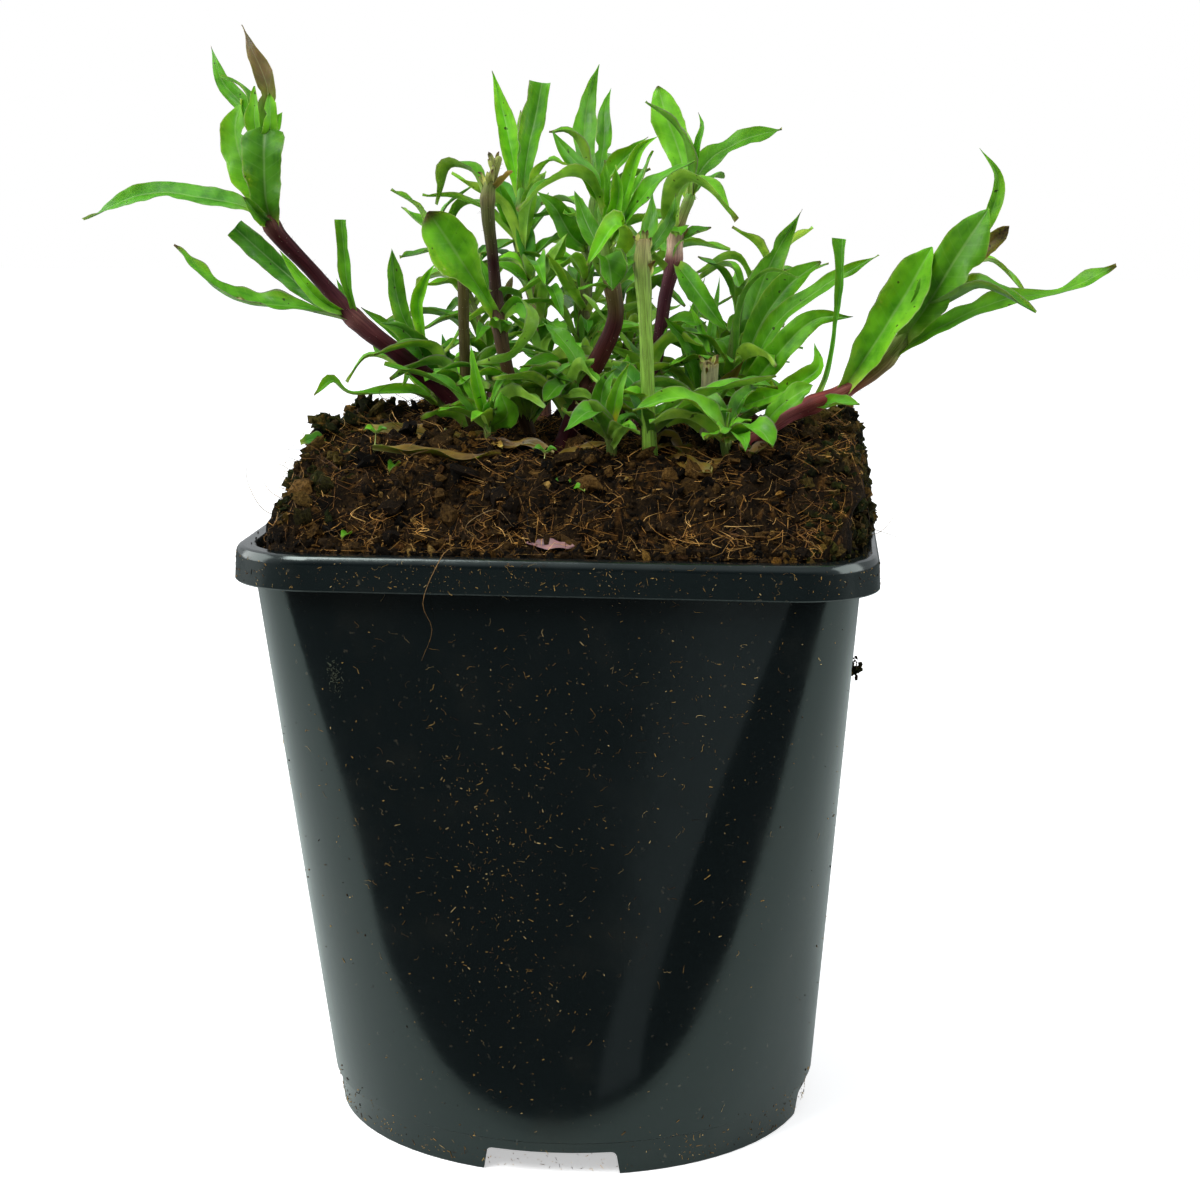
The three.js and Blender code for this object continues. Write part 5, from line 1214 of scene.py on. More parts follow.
@dataclass
class Stem:
    """The fine skin of a stem: ribbed, swollen at its nodes and hairy, or a stub with a hollow cut."""

    shoot: Shoot
    draw: random.Random
    step: float = 0.8
    sides: int = 16
    slim: float = 0.88
    swelling: float = 0.2
    swell_length: float = 1.2
    hair_gap: float = 0.5

    def grow(self, skin: Skin) -> None:
        """Add the stem and its hairs to a skin."""
        self.spine = Spine(self.shoot.stem)
        roots = sorted({round(self.spine.nearest(Vector(leaf.rib[0])), 2) for leaf in self.shoot.leaves})
        self.nodes = [share for i, share in enumerate(roots) if not i or share - roots[i - 1] > 0.05]
        steps = round(self.spine.length / self.step)
        places = self.spine.walk(steps)
        ways = tangents(places)
        side = squared(Vector((0, -1, 0)), ways[0])
        rings = []
        for i, (place, way) in enumerate(zip(places, ways)):
            side = squared(side, way)
            rings.append(self._ring(place, side, way.cross(side), i / steps))
        skin.loft(rings + self._end(rings[-1], ways[-1]))
        self._hairs(skin, places, ways)

    def radius(self, share: float) -> float:
        """The radius at a share of the length."""
        radius = smooth_along(self.shoot.radii, self.spine.place(share)) * self.slim
        return radius + self.swelling * self.knot(share, self.swell_length)

    def knot(self, share: float, length: float) -> float:
        """How near a share of the length is to a node, from 0 to 1, within a length."""
        near = min((abs(share - node) for node in self.nodes), default=1) * self.spine.length
        return math.exp(-((near / length) ** 2))

    def _ring(self, place: Vector, side: Vector, other: Vector, share: float) -> list[Dot]:
        """One ring of the stem, with shallow ribs."""
        radius = self.radius(share)
        reach = share * self.spine.length
        colour = colour_along(self.shoot.bark, self.spine.place(share))
        colour = blend(colour, linear("#a88070"), 0.16 * self.knot(share, 1.3))
        ring = []
        for j in range(self.sides):
            angle = j * TURN / self.sides
            way = side * math.cos(angle) + other * math.sin(angle)
            rough = noise.noise(Vector((way.x * 1.3, way.y * 1.3, reach * 0.35)))
            out = radius * (1 + 0.02 * math.cos(5 * angle) + 0.06 * rough)
            ring.append(Dot(place + way * out, colour, j / self.sides, reach))
        return ring

    def _end(self, ring: Sequence[Dot], way: Vector) -> list[list[Dot]]:
        """The top's last rings: a dome, or on a stub a ragged cut with a hollow pith."""
        middle = sum((dot.at for dot in ring), Vector()) / len(ring)
        if not self.shoot.cut:
            radius = (ring[0].at - middle).length
            return [[replace(dot, at=middle + (dot.at - middle) * inward + way * radius * rise)
                     for dot in ring] for inward, rise in ((0.85, 0.45), (0.5, 0.8), (0.15, 0.9))]
        # The cut rim is dry straw colour; the hollow's walls below it are painted dark brown, a painted shade inside
        # the stem.
        dry, dark = linear("#8f8a5c"), linear("#2f2a1a")
        tear = [0.7 * noise.noise(Vector((j * 0.9, self.spine.length, 0))) for j in range(len(ring))]
        return [[replace(dot, at=middle + (dot.at - middle) * inward + way * (rise + (tear[j] if rise > 0 else 0)),
                         hue=colour) for j, dot in enumerate(ring)]
                for inward, rise, colour in ((1, 0.5, dry), (0.86, 0.75, dry), (0.62, 0.55, dry), (0.55, -0.6, dark),
                                             (0.5, -3, dark))]

    def _hairs(self, skin: Skin, places: Sequence[Vector], ways: Sequence[Vector]) -> None:
        """Add short pale bristles."""
        pale = linear("#9a9a80")
        for _ in range(int(self.spine.length / self.hair_gap)):
            i = self.draw.randrange(len(places) // 5, len(places))
            share = i / (len(places) - 1)
            out = squared(Vector((self.draw.gauss(0, 1), self.draw.gauss(0, 1), self.draw.gauss(0, 1))), ways[i])
            root = places[i] + out * self.radius(share) * 0.95
            tip = root + (out + ways[i] * self.draw.uniform(-0.2, 0.7)) * self.draw.uniform(0.4, 0.75)
            thread(skin, [root, (root + tip) / 2 + ways[i] * 0.05, tip], 0.03, pale)

    def fray(self, skin: Skin, height: float) -> None:
        """Add a whorl of dry papery scales.

        Args:
            skin: what they are added to.
            height: where they stand out of the stem.
        """
        share = min((abs(self.spine.at(self.spine.place(i / 60)).z - height), i / 60) for i in range(61))[1]
        middle = self.spine.at(self.spine.place(share))
        for _ in range(8):
            angle = self.draw.uniform(0, TURN)
            out = polar(angle, 1)
            root = middle + out * self.radius(share) * 0.55
            long = self.draw.uniform(1.6, 4.2)
            mid = root + out * self.draw.uniform(0.2, 0.9) + Vector((0, 0, long * 0.5))
            tip = mid + out * self.draw.uniform(-0.3, 1) + Vector((0, 0, long * self.draw.uniform(0.2, 0.5)))
            scale = Leaf((tuple(root), tuple(mid), tuple(tip)), self.draw.uniform(0.6, 1.3),
                         tuple(-out + Vector((0, 0, 0.3))), STRAP,
                         self.draw.choice((PALE, PALE, DRY)), self.draw.uniform(0.05, 0.5))
            skin.loft(Blade(scale, self.draw, step=0.5).rings(), 1)


def thread(skin: Skin, points: Sequence[Vector], radius: float, hue: Rgb, sides: int = 3) -> None:
    """Add a thin tapering thread.

    Args:
        skin: what it is added to.
        points: its middle line.
        radius: at its root.
        hue: its colour.
        sides: of its section.
    """
    ways = tangents(points)
    side = squared(Vector((0.3, -0.7, 0.64)), ways[0])
    rings = []
    for i, (point, way) in enumerate(zip(points, ways)):
        side = squared(side, way)
        other = way.cross(side)
        here = radius * (1 - 0.75 * i / (len(points) - 1))
        rings.append([Dot(point + (side * math.cos(j * TURN / sides) + other * math.sin(j * TURN / sides)) * here,
                          hue) for j in range(sides)])
    skin.loft(rings)


@dataclass
class Plant:
    """Every shoot of the plant."""

    stem_skin: bpy.types.Material
    leaf_flesh: bpy.types.Material
    TINTS = (GREEN, GREEN, DARK, YOUNG)

    def grow(self) -> None:
        """Make a piece for each packed shoot."""
        shoots = (*SHOOTS, *(rear_shoot(*row) for row in REAR_SHOOTS))
        for number, shoot in enumerate(shoots):
            packed = Packed(shoot.name)
            draw = random.Random(number * 31 + 7)
            skin = Skin()
            stem = Stem(shoot, draw)
            stem.grow(skin)
            kept = [as_packed(leaf, packed) for leaf in (*shoot.leaves, *basal_leaves(shoot))]
            free = [leaf for leaf, found in zip(shoot.leaves, kept) if not found and not leaf.turns]
            small = [leaf for crowd in CROWDS.get(shoot.name, ()) for leaf in crowd.leaves(shoot, draw)]
            for leaf in (*filter(None, kept), *free, *small):
                if leaf.turns:
                    leaf = replace(leaf, tint=draw.choice(self.TINTS))
                skin.loft(Blade(leaf, draw).rings(), 1)
            for height in shoot.frays:
                stem.fray(skin, height)
            LOG.info("%s: %d of %d leaves packed, %d free, %d small", shoot.name, sum(map(bool, kept)), len(kept),
                     len(free), len(small))
            slot = "cut_stub" if shoot.cut else "leafy_shoot"
            skin.piece(shoot.name + "_plant", (self.stem_skin, self.leaf_flesh), slot, (shoot.name,))


Ball = tuple[list[Vector], list[tuple[int, ...]]]
EIGHT_SIDED: Ball = (
    [Vector(point) for point in ((1, 0, 0), (0, 1, 0), (-1, 0, 0), (0, -1, 0), (0, 0, 1), (0, 0, -1))],
    [(0, 1, 4), (1, 2, 4), (2, 3, 4), (3, 0, 4), (1, 0, 5), (2, 1, 5), (3, 2, 5), (0, 3, 5)])


@dataclass
class PeatMound:
    """The heap of peat that overfills the pot, with its crumbs, fibres and scraps."""

    peat: bpy.types.Material
    fibre: bpy.types.Material
    flesh: bpy.types.Material
    pot: NurseryPot
    edge: float = 111
    rise: float = 16.5
    half: float = 50.4
    corner: float = 13
    spread: tuple[float, float, float, float] = (-51.6, 54.4, -51.6, 51.6)
    slopes: tuple[float, float, float, float] = (4, 1.6, 13, 14)
    bumps: tuple[float, float] = (1.5, 0.7)
    spokes: int = 384
    rings: int = 104
    CLUMPS = ((-38, 8, 8, 4), (-46, -20, 6, 2.5), (-26, 18, 9, 2.5), (47, -4, 7, 2.5), (50, 16, 5, 3),
              (12, 34, 9, 2), (-8, -42, 7, 1.5), (34, -38, 7, 2))
    TONES = ("#20170d", "#332513", "#150f08", "#4c381c", "#0c0905", "#654b26", "#291e10")
    STRAWS = ("#94692c", "#b98a42", "#7a5528", "#cfa862", "#5f4020", "#a37c3c")

    def __post_init__(self) -> None:
        """Draw the lattice of random heights and the numbers for the details."""
        numbers = draws(2024)
        self.lattice = [next(numbers) * 2 - 1 for _ in range(256)]
        self.draw = random.Random(77)
        self.tones = [linear(code) for code in self.TONES]
        self.straws = [linear(code) for code in self.STRAWS]

    def bump(self, x: float, y: float, size: float) -> float:
        """Smooth hills and hollows over the lattice."""
        u, v = x / size + 40, y / size + 40
        i, j = math.floor(u), math.floor(v)
        eu, ev = (t * t * (3 - 2 * t) for t in (u - i, v - j))

        def at(a: int, b: int) -> float:
            """The lattice's value at a corner."""
            return self.lattice[(a * 73 + b * 151) & 255]

        return mix(mix(at(i, j), at(i + 1, j), eu), mix(at(i, j + 1), at(i + 1, j + 1), eu), ev)

    def height(self, x: float, y: float) -> float:
        """The height of the packed soil over a place."""
        left, right, front, back = self.spread
        mound = 1.0
        for gap, slope in zip((x - left, right - x, y - front, back - y), self.slopes):
            mound *= 1 - math.exp(-((max(gap, 0) / slope) ** 1.6))
        rough = self.bumps[0] * self.bump(x, y, 7) + self.bumps[1] * self.bump(x + 3, y - 5, 3.4)
        clumps = sum(top * math.exp(-((x - cx) ** 2 + (y - cy) ** 2) / radius**2)
                     for cx, cy, radius, top in self.CLUMPS)
        return self.edge + self.rise * mound + (rough + clumps) * (0.25 + 0.75 * mound)

    def crust(self, x: float, y: float) -> float:
        """The height of the fine surface over a place: the packed soil's, broken into crumbs."""
        place = Vector((x, y, 0))
        grain = 0.0
        for size, deep in ((6.2, 3.2), (3.1, 2.2), (1.6, 1.1)):
            near = noise.voronoi(place / size + Vector((size, 7, 0)), distance_metric="DISTANCE")[0]
            grain += deep * (0.45 - near[0])
        ragged = noise.fractal(place / 2.6, 0.7, 2.1, 4) * 1.2
        inward = min(self.spread[1] - x, x - self.spread[0], y - self.spread[2], self.spread[3] - y)
        return self.height(x, y) + (grain + ragged) * step(0, 7, inward)

    def reach(self, angle: float) -> float:
        """How far the mound goes out at a compass angle."""
        return Section(self.half, self.corner, 0).edge(angle)

    def ring_dot(self, share: float, sink: float, bulge: float, angle: float) -> Vector:
        """A point of the mound at a share of the way out from the middle."""
        reach = self.reach(angle)
        x, y = math.cos(angle) * reach, math.sin(angle) * reach
        side = abs((angle + math.pi) % TURN - math.pi) / 0.7
        out = max(0.0, 1 - side**4)
        x, y = (x + bulge * 4 * out) * share, y * share
        shelf = 113.2 if out > 0 and share > 1 - 4 / self.half else 0
        return Vector((x, y, max(self.crust(x, y) if share < 0.985 else self.height(x, y), shelf) - sink))

    def build(self) -> None:
        """Make every piece of the soil."""
        self.balls = (EIGHT_SIDED, self._ball(False), self._ball(True))
        self._mound()
        self._crumbs()
        self._spill()
        self._fibres()
        self._litter()
        self._scraps()

    def _mound(self) -> None:
        """The mound itself, down to the pot's floor."""
        skin = Skin()
        dark = linear("#15100c")
        angles = [i * TURN / self.spokes for i in range(self.spokes)]
        inset = 1.1 + 0.3 + 0.35
        base = self.pot.wall_at(8, inset).half - 1.5
        rings = [[Dot(polar(a, base, 7.3), dark) for a in angles]]
        for z in (9, 34, 59, 84, 108):
            ring = self.pot.wall_at(z, inset)
            rings.append([Dot(polar(a, ring.edge(a), z), dark) for a in angles])
        tops = ((1 - (i / self.rings) ** 0.9, 0, 1) for i in range(self.rings))
        rings += [[self._earth(self.ring_dot(*row, a)) for a in angles] for row in ((1, 0.9, 0), (1, 0.6, 1), *tops)]
        skin.loft(rings)
        skin.piece("peat_mound", (self.peat,), "peat_soil", ("soil",), crease=38)

    def _earth(self, at: Vector) -> Dot:
        """A dot of soil with its own shade."""
        shade = 0.45 + 0.9 * noise.noise(at / 1.8)
        tone = blend(self.tones[4], self.tones[1], min(max(shade, 0), 1))
        if noise.noise(at / 1.1 + Vector((9, 9, 9))) > 0.42:
            tone = blend(tone, self.straws[2], 0.5)
        return Dot(at, tone)

    def on_top(self, x: float, y: float, lift: float = 0) -> Vector:
        """A point on the crust."""
        return Vector((x, y, self.crust(x, y) + lift))

    def _spot(self, margin: float = 0) -> tuple[float, float]:
        """A random place on the mound."""
        while True:
            x, y = (self.draw.uniform(-self.half, self.half + 3) for _ in range(2))
            y = min(y, self.half)
            reach = self.reach(math.atan2(y, x)) - margin
            if x > 0 and abs(y) < 30:
                reach += 3
            if math.hypot(x, y) < reach:
                return x, y

    def _ball(self, fine: bool) -> Ball:
        """The points and faces of a unit ball with 24 or 20 faces, for crumbs to be made from."""
        bpy.ops.object.select_all(action="DESELECT")
        if fine:
            bpy.ops.mesh.primitive_cube_add()
            bpy.ops.object.mode_set(mode="EDIT")
            bpy.ops.mesh.subdivide(number_cuts=1)
            bpy.ops.object.mode_set(mode="OBJECT")
        else:
            bpy.ops.mesh.primitive_ico_sphere_add(subdivisions=1, radius=1)
        ball = bpy.context.object
        points = [v.co.normalized() for v in ball.data.vertices]
        faces = [tuple(p.vertices) for p in ball.data.polygons]
        bpy.data.objects.remove(ball)
        return points, faces

    def _crumbs(self) -> None:
        """Loose crumbs and clods, from grit to small lumps."""
        for name, count, low, high in (("peat_grit", 8000, 0.2, 0.62), ("peat_crumbs", 2000, 0.45, 1.2),
                                       ("peat_clods", 420, 1.0, 2.4)):
            skin = Skin()
            for _ in range(count):
                x, y = self._spot(0.5)
                size = low + (high - low) * self.draw.random() ** 2
                self._crumb(skin, self.on_top(x, y, size * self.draw.uniform(0, 0.55)), size)
            skin.piece(name, (self.peat,), "peat_soil", crease=32)

    def _spill(self) -> None:
        """Crumbs that fill the gap at the rim, lie on it and cling to the mound's steep sides."""
        skin, draw = Skin(), self.draw
        for _ in range(900):
            angle = draw.uniform(0, TURN)
            size = 0.3 + 0.75 * draw.random() ** 1.6
            reach = Section(51.2, 12.5, 0).edge(angle) - draw.uniform(0, 2.6)
            self._crumb(skin, polar(angle, reach, 110.6 + draw.uniform(0, 1.7)), size)
        for number in range(1700):
            angle = draw.uniform(0, TURN) if number % 3 else draw.uniform(-1, 1)
            wall = self.ring_dot(draw.uniform(0.95, 0.995), 0, 1, angle)
            at = Vector((wall.x, wall.y, mix(112, wall.z, draw.random())))
            self._crumb(skin, at, 0.3 + 1.1 * draw.random() ** 1.6)
        for _ in range(170):
            angle = draw.uniform(0, TURN)
            reach = Section(51.6 + 2.6 * draw.random() ** 2, 14, 0).edge(angle)
            self._crumb(skin, polar(angle, reach, 112.1), draw.uniform(0.14, 0.42))
        for _ in range(46):
            out = draw.uniform(0.1, 2)
            at = self.pot.on_wall(draw.gauss(-0.46, 0.012), 88.6 + 0.5 * out + draw.gauss(0, 0.7), out)
            self._crumb(skin, at, draw.uniform(0.25, 0.5))
        for x, y, count, high in ((-45, -17, 46, 3.6), (-40, 2, 26, 2.6), (49, 6, 16, 5), (-47, -27, 16, 1.6)):
            for _ in range(count):
                place = x + draw.gauss(0, 1.5), y + draw.gauss(0, 2.6)
                self._crumb(skin, self.on_top(*place, draw.uniform(-0.5, high)), draw.uniform(0.6, 1.5))
        for _ in range(420):
            angle = draw.uniform(-1.25, 0.1)
            size = 0.5 + 1.1 * draw.random() ** 1.6
            reach = Section(51.3, 12.5, 0).edge(angle) - size - draw.uniform(0, 3.4)
            self._crumb(skin, polar(angle, reach, 110 + draw.uniform(0, 3.2)), size)
        skin.piece("peat_spill", (self.peat,), "peat_soil", crease=32)

    def _crumb(self, skin: Skin, middle: Vector, size: float) -> None:
        """Add one crumb, lumpy and turned at random."""
        draw = self.draw
        points, faces = self.balls[(size > 0.4) + (size > 0.7)]
        turn = Matrix.Rotation(draw.uniform(0, TURN), 3, Vector([draw.gauss(0, 1) for _ in range(3)]))
        stretch = Vector((draw.uniform(0.6, 1.4), draw.uniform(0.6, 1.2), draw.uniform(0.45, 0.95)))
        seed = Vector([draw.uniform(0, 50) for _ in range(3)])
        tone = shaded(draw.choice(self.tones), draw.uniform(0.7, 1.35))
        if draw.random() < 0.05:
            tone = shaded(draw.choice(self.straws), draw.uniform(0.3, 0.8) / max(size, 1))
        if middle.x > 42 or middle.x < -36 and middle.z > 116:
            tone = blend(tone, linear("#3c4a18"), 0.5 * draw.random())
        dots = []
        for point in points:
            lumpy = 1 + 0.8 * noise.noise(point * 1.6 + seed) + 0.5 * noise.noise(point * 3.7 + seed)
            out = turn @ Vector([p * s for p, s in zip(point * lumpy, stretch)])
            dots.append(Dot(middle + out * size, shaded(tone, 0.85 + 0.3 * noise.noise(point * 2 + seed))))
        skin.lump(dots, faces)

    def _fibres(self) -> None:
        """Peat and straw fibres, and the root hairs that hang over the rim and at the sides."""
        skin, draw = Skin(), self.draw
        for number in range(6800):
            x, y = self._spot(0.3)
            if number % 5 == 0:
                edge = self.ring_dot(draw.uniform(0.9, 0.99), 0, 1, draw.uniform(0, TURN))
                x, y = edge.x, edge.y
            long = min(0.9 + draw.expovariate(0.5), 9)
            tone = draw.choice(self.straws if draw.random() < 0.7 else self.tones[3:6])
            self._fibre(skin, self.on_top(x, y, draw.uniform(-0.1, 0.9)), long, draw.uniform(0.035, 0.1),
                        shaded(tone, draw.uniform(0.5, 1.6)))
        for x in (-30, -21, -13, -4, 8, 22, 31, 44):
            for _ in range(12):
                root = self.on_top(x + draw.gauss(0, 2), -48.5 + draw.uniform(-0.8, 3), draw.uniform(0, 1.4))
                self._fibre(skin, root, draw.uniform(4, 11), draw.uniform(0.04, 0.09),
                            shaded(draw.choice(self.straws), draw.uniform(0.7, 1.4)), 11, 0.8)
        pale, red = linear("#a98f63"), linear("#8a6a3a")
        hairs = (
            (((-14, -50, 113), (-16, -52.5, 113.5), (-17.5, -55.6, 112.3), (-20.5, -56, 105), (-19.5, -52.6, 99.5),
              (-21.5, -51.4, 94)), red),
            (((-49, -20, 113), (-54, -24, 115), (-56.6, -26, 121), (-55.5, -27, 126)), pale),
            (((-50, -12, 114), (-55, -14, 117), (-58, -14, 122.5)), pale),
            (((50, -20, 114), (55, -24, 113.5), (59, -26, 112.5), (60.5, -27, 112)), pale),
            (((50, -30, 113.5), (55, -33, 114.5), (58.5, -35, 119)), pale),
            (((-12, -48, 114), (-14, -51, 117), (-9, -52, 120), (-6, -51, 117)), pale),
        )
        for points, tone in hairs:
            thread(skin, Spine(points).walk(18), 0.09, tone)
        skin.piece("peat_fibres", (self.fibre,), "peat_soil", crease=60)

    def _fibre(self, skin: Skin, root: Vector, long: float, radius: float, tone: Rgb,
               steps: int = 4, bend: float = 0.4) -> None:
        """Add one curved fibre that lies on the crust."""
        draw = self.draw
        way = draw.uniform(0, TURN)
        curl = draw.gauss(0, bend)
        points = [root]
        lift = draw.uniform(-0.1, 0.6) * long / steps
        for _ in range(steps):
            way += curl + draw.gauss(0, bend / 3)
            here = points[-1] + polar(way, 1) * long / steps
            reach = self.reach(math.atan2(here.y, here.x))
            if math.hypot(here.x, here.y) < reach:
                here.z = max(self.crust(here.x, here.y) + 0.1, mix(points[-1].z, here.z, 0.4) + lift)
            else:
                held = (reach + 0.5) / math.hypot(here.x, here.y)
                here = Vector((here.x * held, here.y * held, max(points[-1].z - long / steps, 112.4)))
            points.append(here)
        thread(skin, points[::2] if long < 2.4 else points, radius, tone)

    def _litter(self) -> None:
        """Dry leaf remains round the crown."""
        skin, draw = Skin(), self.draw
        for x, y, way, long, wide in ((-27, -16, 0.25, 17, 2.6), (-17, -17, 0.5, 13, 3), (-30, -10, -0.1, 15, 2.2),
                                      (-8, -24, 2.9, 12, 2.4), (3, -26, 0.4, 11, 2.2), (19, -22, 0.2, 9, 3.4),
                                      (22, -30, 2.6, 9, 2.8), (33, -22, 0.9, 10, 2), (-21, 2, 1.9, 13, 2.4),
                                      (10, 33, 0.6, 14, 2.6), (-14, 38, 2.4, 12, 2.2), (30, 20, 1.4, 13, 2.6)):
            step_out = polar(way, 1) * long / 3
            start = Vector((x, y, 0)) - step_out * 1.5
            rib = []
            for i in range(4):
                here = start + step_out * i + Vector((draw.uniform(-0.8, 0.8), draw.uniform(-0.8, 0.8), 0))
                rib.append((here.x, here.y, max(self.crust(here.x, here.y + s) for s in (-1, 0, 1)) + 0.4))
            blade = Leaf(tuple(rib), wide, FRONT_UP, STRAP, FADED, draw.uniform(0.05, 0.5))
            skin.loft(Blade(blade, draw, step=0.6).rings())
        skin.piece("crown_litter", (self.flesh,), "dead_leaf")

    def _scraps(self) -> None:
        """Seedlings, torn leaf scraps, a mauve petal and the dry fallen leaf."""
        draw = self.draw
        scraps = Skin()
        for x, y in ((-33, -30), (-3, -33)):
            foot = self.on_top(x, y, -0.3)
            top = foot + Vector((0.4, -0.2, 3.6))
            thread(scraps, [foot, foot + Vector((0.2, 0, 1.8)), top], 0.16, linear("#b4c48c"), 6)
            for side in (-1, 1):
                rib = (tuple(top), tuple(top + Vector((side * 1.1, -0.3, 0.7))),
                       tuple(top + Vector((side * 2.1, -0.5, 0.5))))
                scraps.loft(Blade(Leaf(rib, 1.2, FRONT_UP, SPOON, GREEN), draw, step=0.3).rings())
        for x, y, long, wide, way, tint in (
                (-45, -24, 4.5, 2.6, 0.5, DARK), (-29.5, -31, 4, 2.2, 1.4, GREEN), (-35, -47, 2.6, 1.6, 1.2, GREEN),
                (0.5, -35, 3.4, 1.6, 0.2, GREEN), (4, -40, 2.6, 1.2, 2.4, DARK), (12, -36, 2.4, 1.2, 0.9, DRY),
                (-12, -24, 3.2, 1.8, 2.2, DRY), (27, -30, 3.6, 1.7, 0.4, DRY), (-20, 40, 3.6, 1.8, 0.7, DARK),
                (20, 44, 3, 1.4, 2, DRY)):
            middle = self.on_top(x, y, 0.4)
            out = polar(way, 1) * long / 2
            rib = tuple(tuple(middle + out * share + Vector((0, 0, lift)))
                        for share, lift in ((-1, 0), (0, 0.5), (1, 0.3)))
            scraps.loft(Blade(Leaf(rib, wide, FRONT_UP, BLUNT, tint), draw, step=0.4).rings())
        petal = Spine((tuple(self.on_top(-4, -48, 1.5)), tuple(self.on_top(-0.5, -49, 2)),
                       tuple(self.on_top(4, -48.5, 1.4))))
        rings = Blade(Leaf(tuple(tuple(p) for p in petal.walk(2)), 2.2, FRONT_UP, STRAP), draw, step=0.4).rings()
        mauve = linear("#8c6c88")
        scraps.loft([[replace(dot, hue=mauve, sere=0) for dot in ring] for ring in rings])
        scraps.piece("scraps", (self.flesh,), "dead_leaf")
        dead = Skin()
        dead.loft(Blade(self.fallen(), draw, step=0.6).rings())
        dead.piece("fallen_blade", (self.flesh,), "dead_leaf", ("fallen_leaf",))

    def fallen(self) -> Leaf:
        """The dry leaf that lies on the soil, over the highest soil below its width."""
        wide = 5
        rib = tuple((x, y, max(self.height(x, y + side) for side in (-wide / 2, 0, wide / 2)) + 1)
                    for x, y in ((-33, -31), (-25, -31), (-17, -32), (-10, -34)))
        return Leaf(rib, 0.84 * wide, UP, LANCE, FADED, 0.4)


def add_node(tree: bpy.types.NodeTree, kind: str, inputs: dict | Sequence = (), out: int | str = 0,
             **settings: object) -> bpy.types.NodeSocket | None:
    """Add a node with its settings and its inputs' values or links.

    Args:
        tree: the material's or world's nodes.
        kind: the shader node's type.
        inputs: a value, an sRGB hex colour or another node's output for each input, by name or in order.
        out: the output that is wanted, by name or number.
        settings: the node's own properties.

    Returns:
        The output, if the node has any.
    """
    node = tree.nodes.new("ShaderNode" + kind)
    for name, value in settings.items():
        setattr(node, name, value)
    for socket, value in inputs.items() if isinstance(inputs, dict) else enumerate(inputs):
        if isinstance(value, bpy.types.NodeSocket):
            tree.links.new(value, node.inputs[socket])
        else:
            node.inputs[socket].default_value = (*linear(value), 1.0) if isinstance(value, str) else value
    return node.outputs[out] if node.outputs else None


Add = Callable[..., bpy.types.NodeSocket]
Look = tuple[Sequence[tuple[object, object]], dict[str, object]]


@dataclass(frozen=True)
class Finish:
    """A surface, and the material that shows it. Its pattern sizes are in millimetres."""

    name: str

    def look(self, add: Add) -> Look:
        """The layers of colour, each with its share of those below, and the shader's other inputs."""
        raise NotImplementedError

    def shades(self, add: Add, deep: Rgb, light: Rgb) -> list[bpy.types.NodeSocket]:
        """The points' own colour, darkened and lit by two factors."""
        hue = add("Attribute", out="Color", attribute_name="hue")
        return [add("Mix", {0: 1.0, 6: hue, 7: (*factor, 1)}, 2, data_type="RGBA", blend_type="MULTIPLY")
                for factor in (deep, light)]

    def material(self) -> bpy.types.Material:
        """Make the material, its layers mixed from the first to the last."""
        made = bpy.data.materials.new(self.name)
        made.use_nodes = True
        made.node_tree.nodes.clear()
        add = partial(add_node, made.node_tree)
        layers, inputs = self.look(add)
        colour = layers[0][1]
        for share, over in layers[1:]:
            colour = add("Mix", {0: share, 6: colour, 7: over}, 2, data_type="RGBA")
        add("OutputMaterial", {"Surface": add("BsdfPrincipled", {"Base Color": colour, **inputs})})
        return made


@dataclass(frozen=True)
class MouldedPolypropylene(Finish):
    """Injection-moulded polypropylene, blue-black."""

    name: str = "moulded_polypropylene"
    body: str = "#0f1617"
    dust: str = "#6b6250"
    roughness: float = 0.15
    smear: float = 14.0
    speck: float = 1.1
    orange_peel: float = 1.4
    scratch: float = 0.5

    def look(self, add: Add) -> Look:
        """A soft gloss from the mould, with peat dust in smears and specks and fine upright scratches."""
        place = add("TexCoord", out="Object")
        upright = add("Mapping", {"Vector": place, "Scale": (1, 1, 0.05), "Rotation": (0.25, 0.2, 0)})
        smear, speckle, peel, lines = (
            add("TexNoise", {"Vector": where, "Scale": 1000 / size, "Detail": detail, "Roughness": rough})
            for where, size, detail, rough in ((place, self.smear, 5, 0.6), (place, self.speck, 3, 0.5),
                                               (place, self.orange_peel, 2, 0.5), (upright, self.scratch, 1, 0.5)))
        scratched = add("MapRange", (lines, 0.7, 0.78))
        relief = add("Math", (peel, scratched), operation="ADD")
        layers = ((None, self.body), (add("MapRange", (smear, 0.55, 0.78, 0, 0.04)), self.dust),
                  (add("MapRange", (speckle, 0.68, 0.76, 0, 0.35)), self.dust))
        return layers, {
            "Roughness": add("MapRange", (smear, 0.3, 0.75, self.roughness - 0.04, self.roughness + 0.1)),
            "IOR": 1.49, "Specular IOR Level": 0.65, "Specular Tint": (0.86, 1, 0.95, 1),
            "Normal": add("Bump", {"Height": relief, "Strength": 0.035, "Distance": 0.0003})}


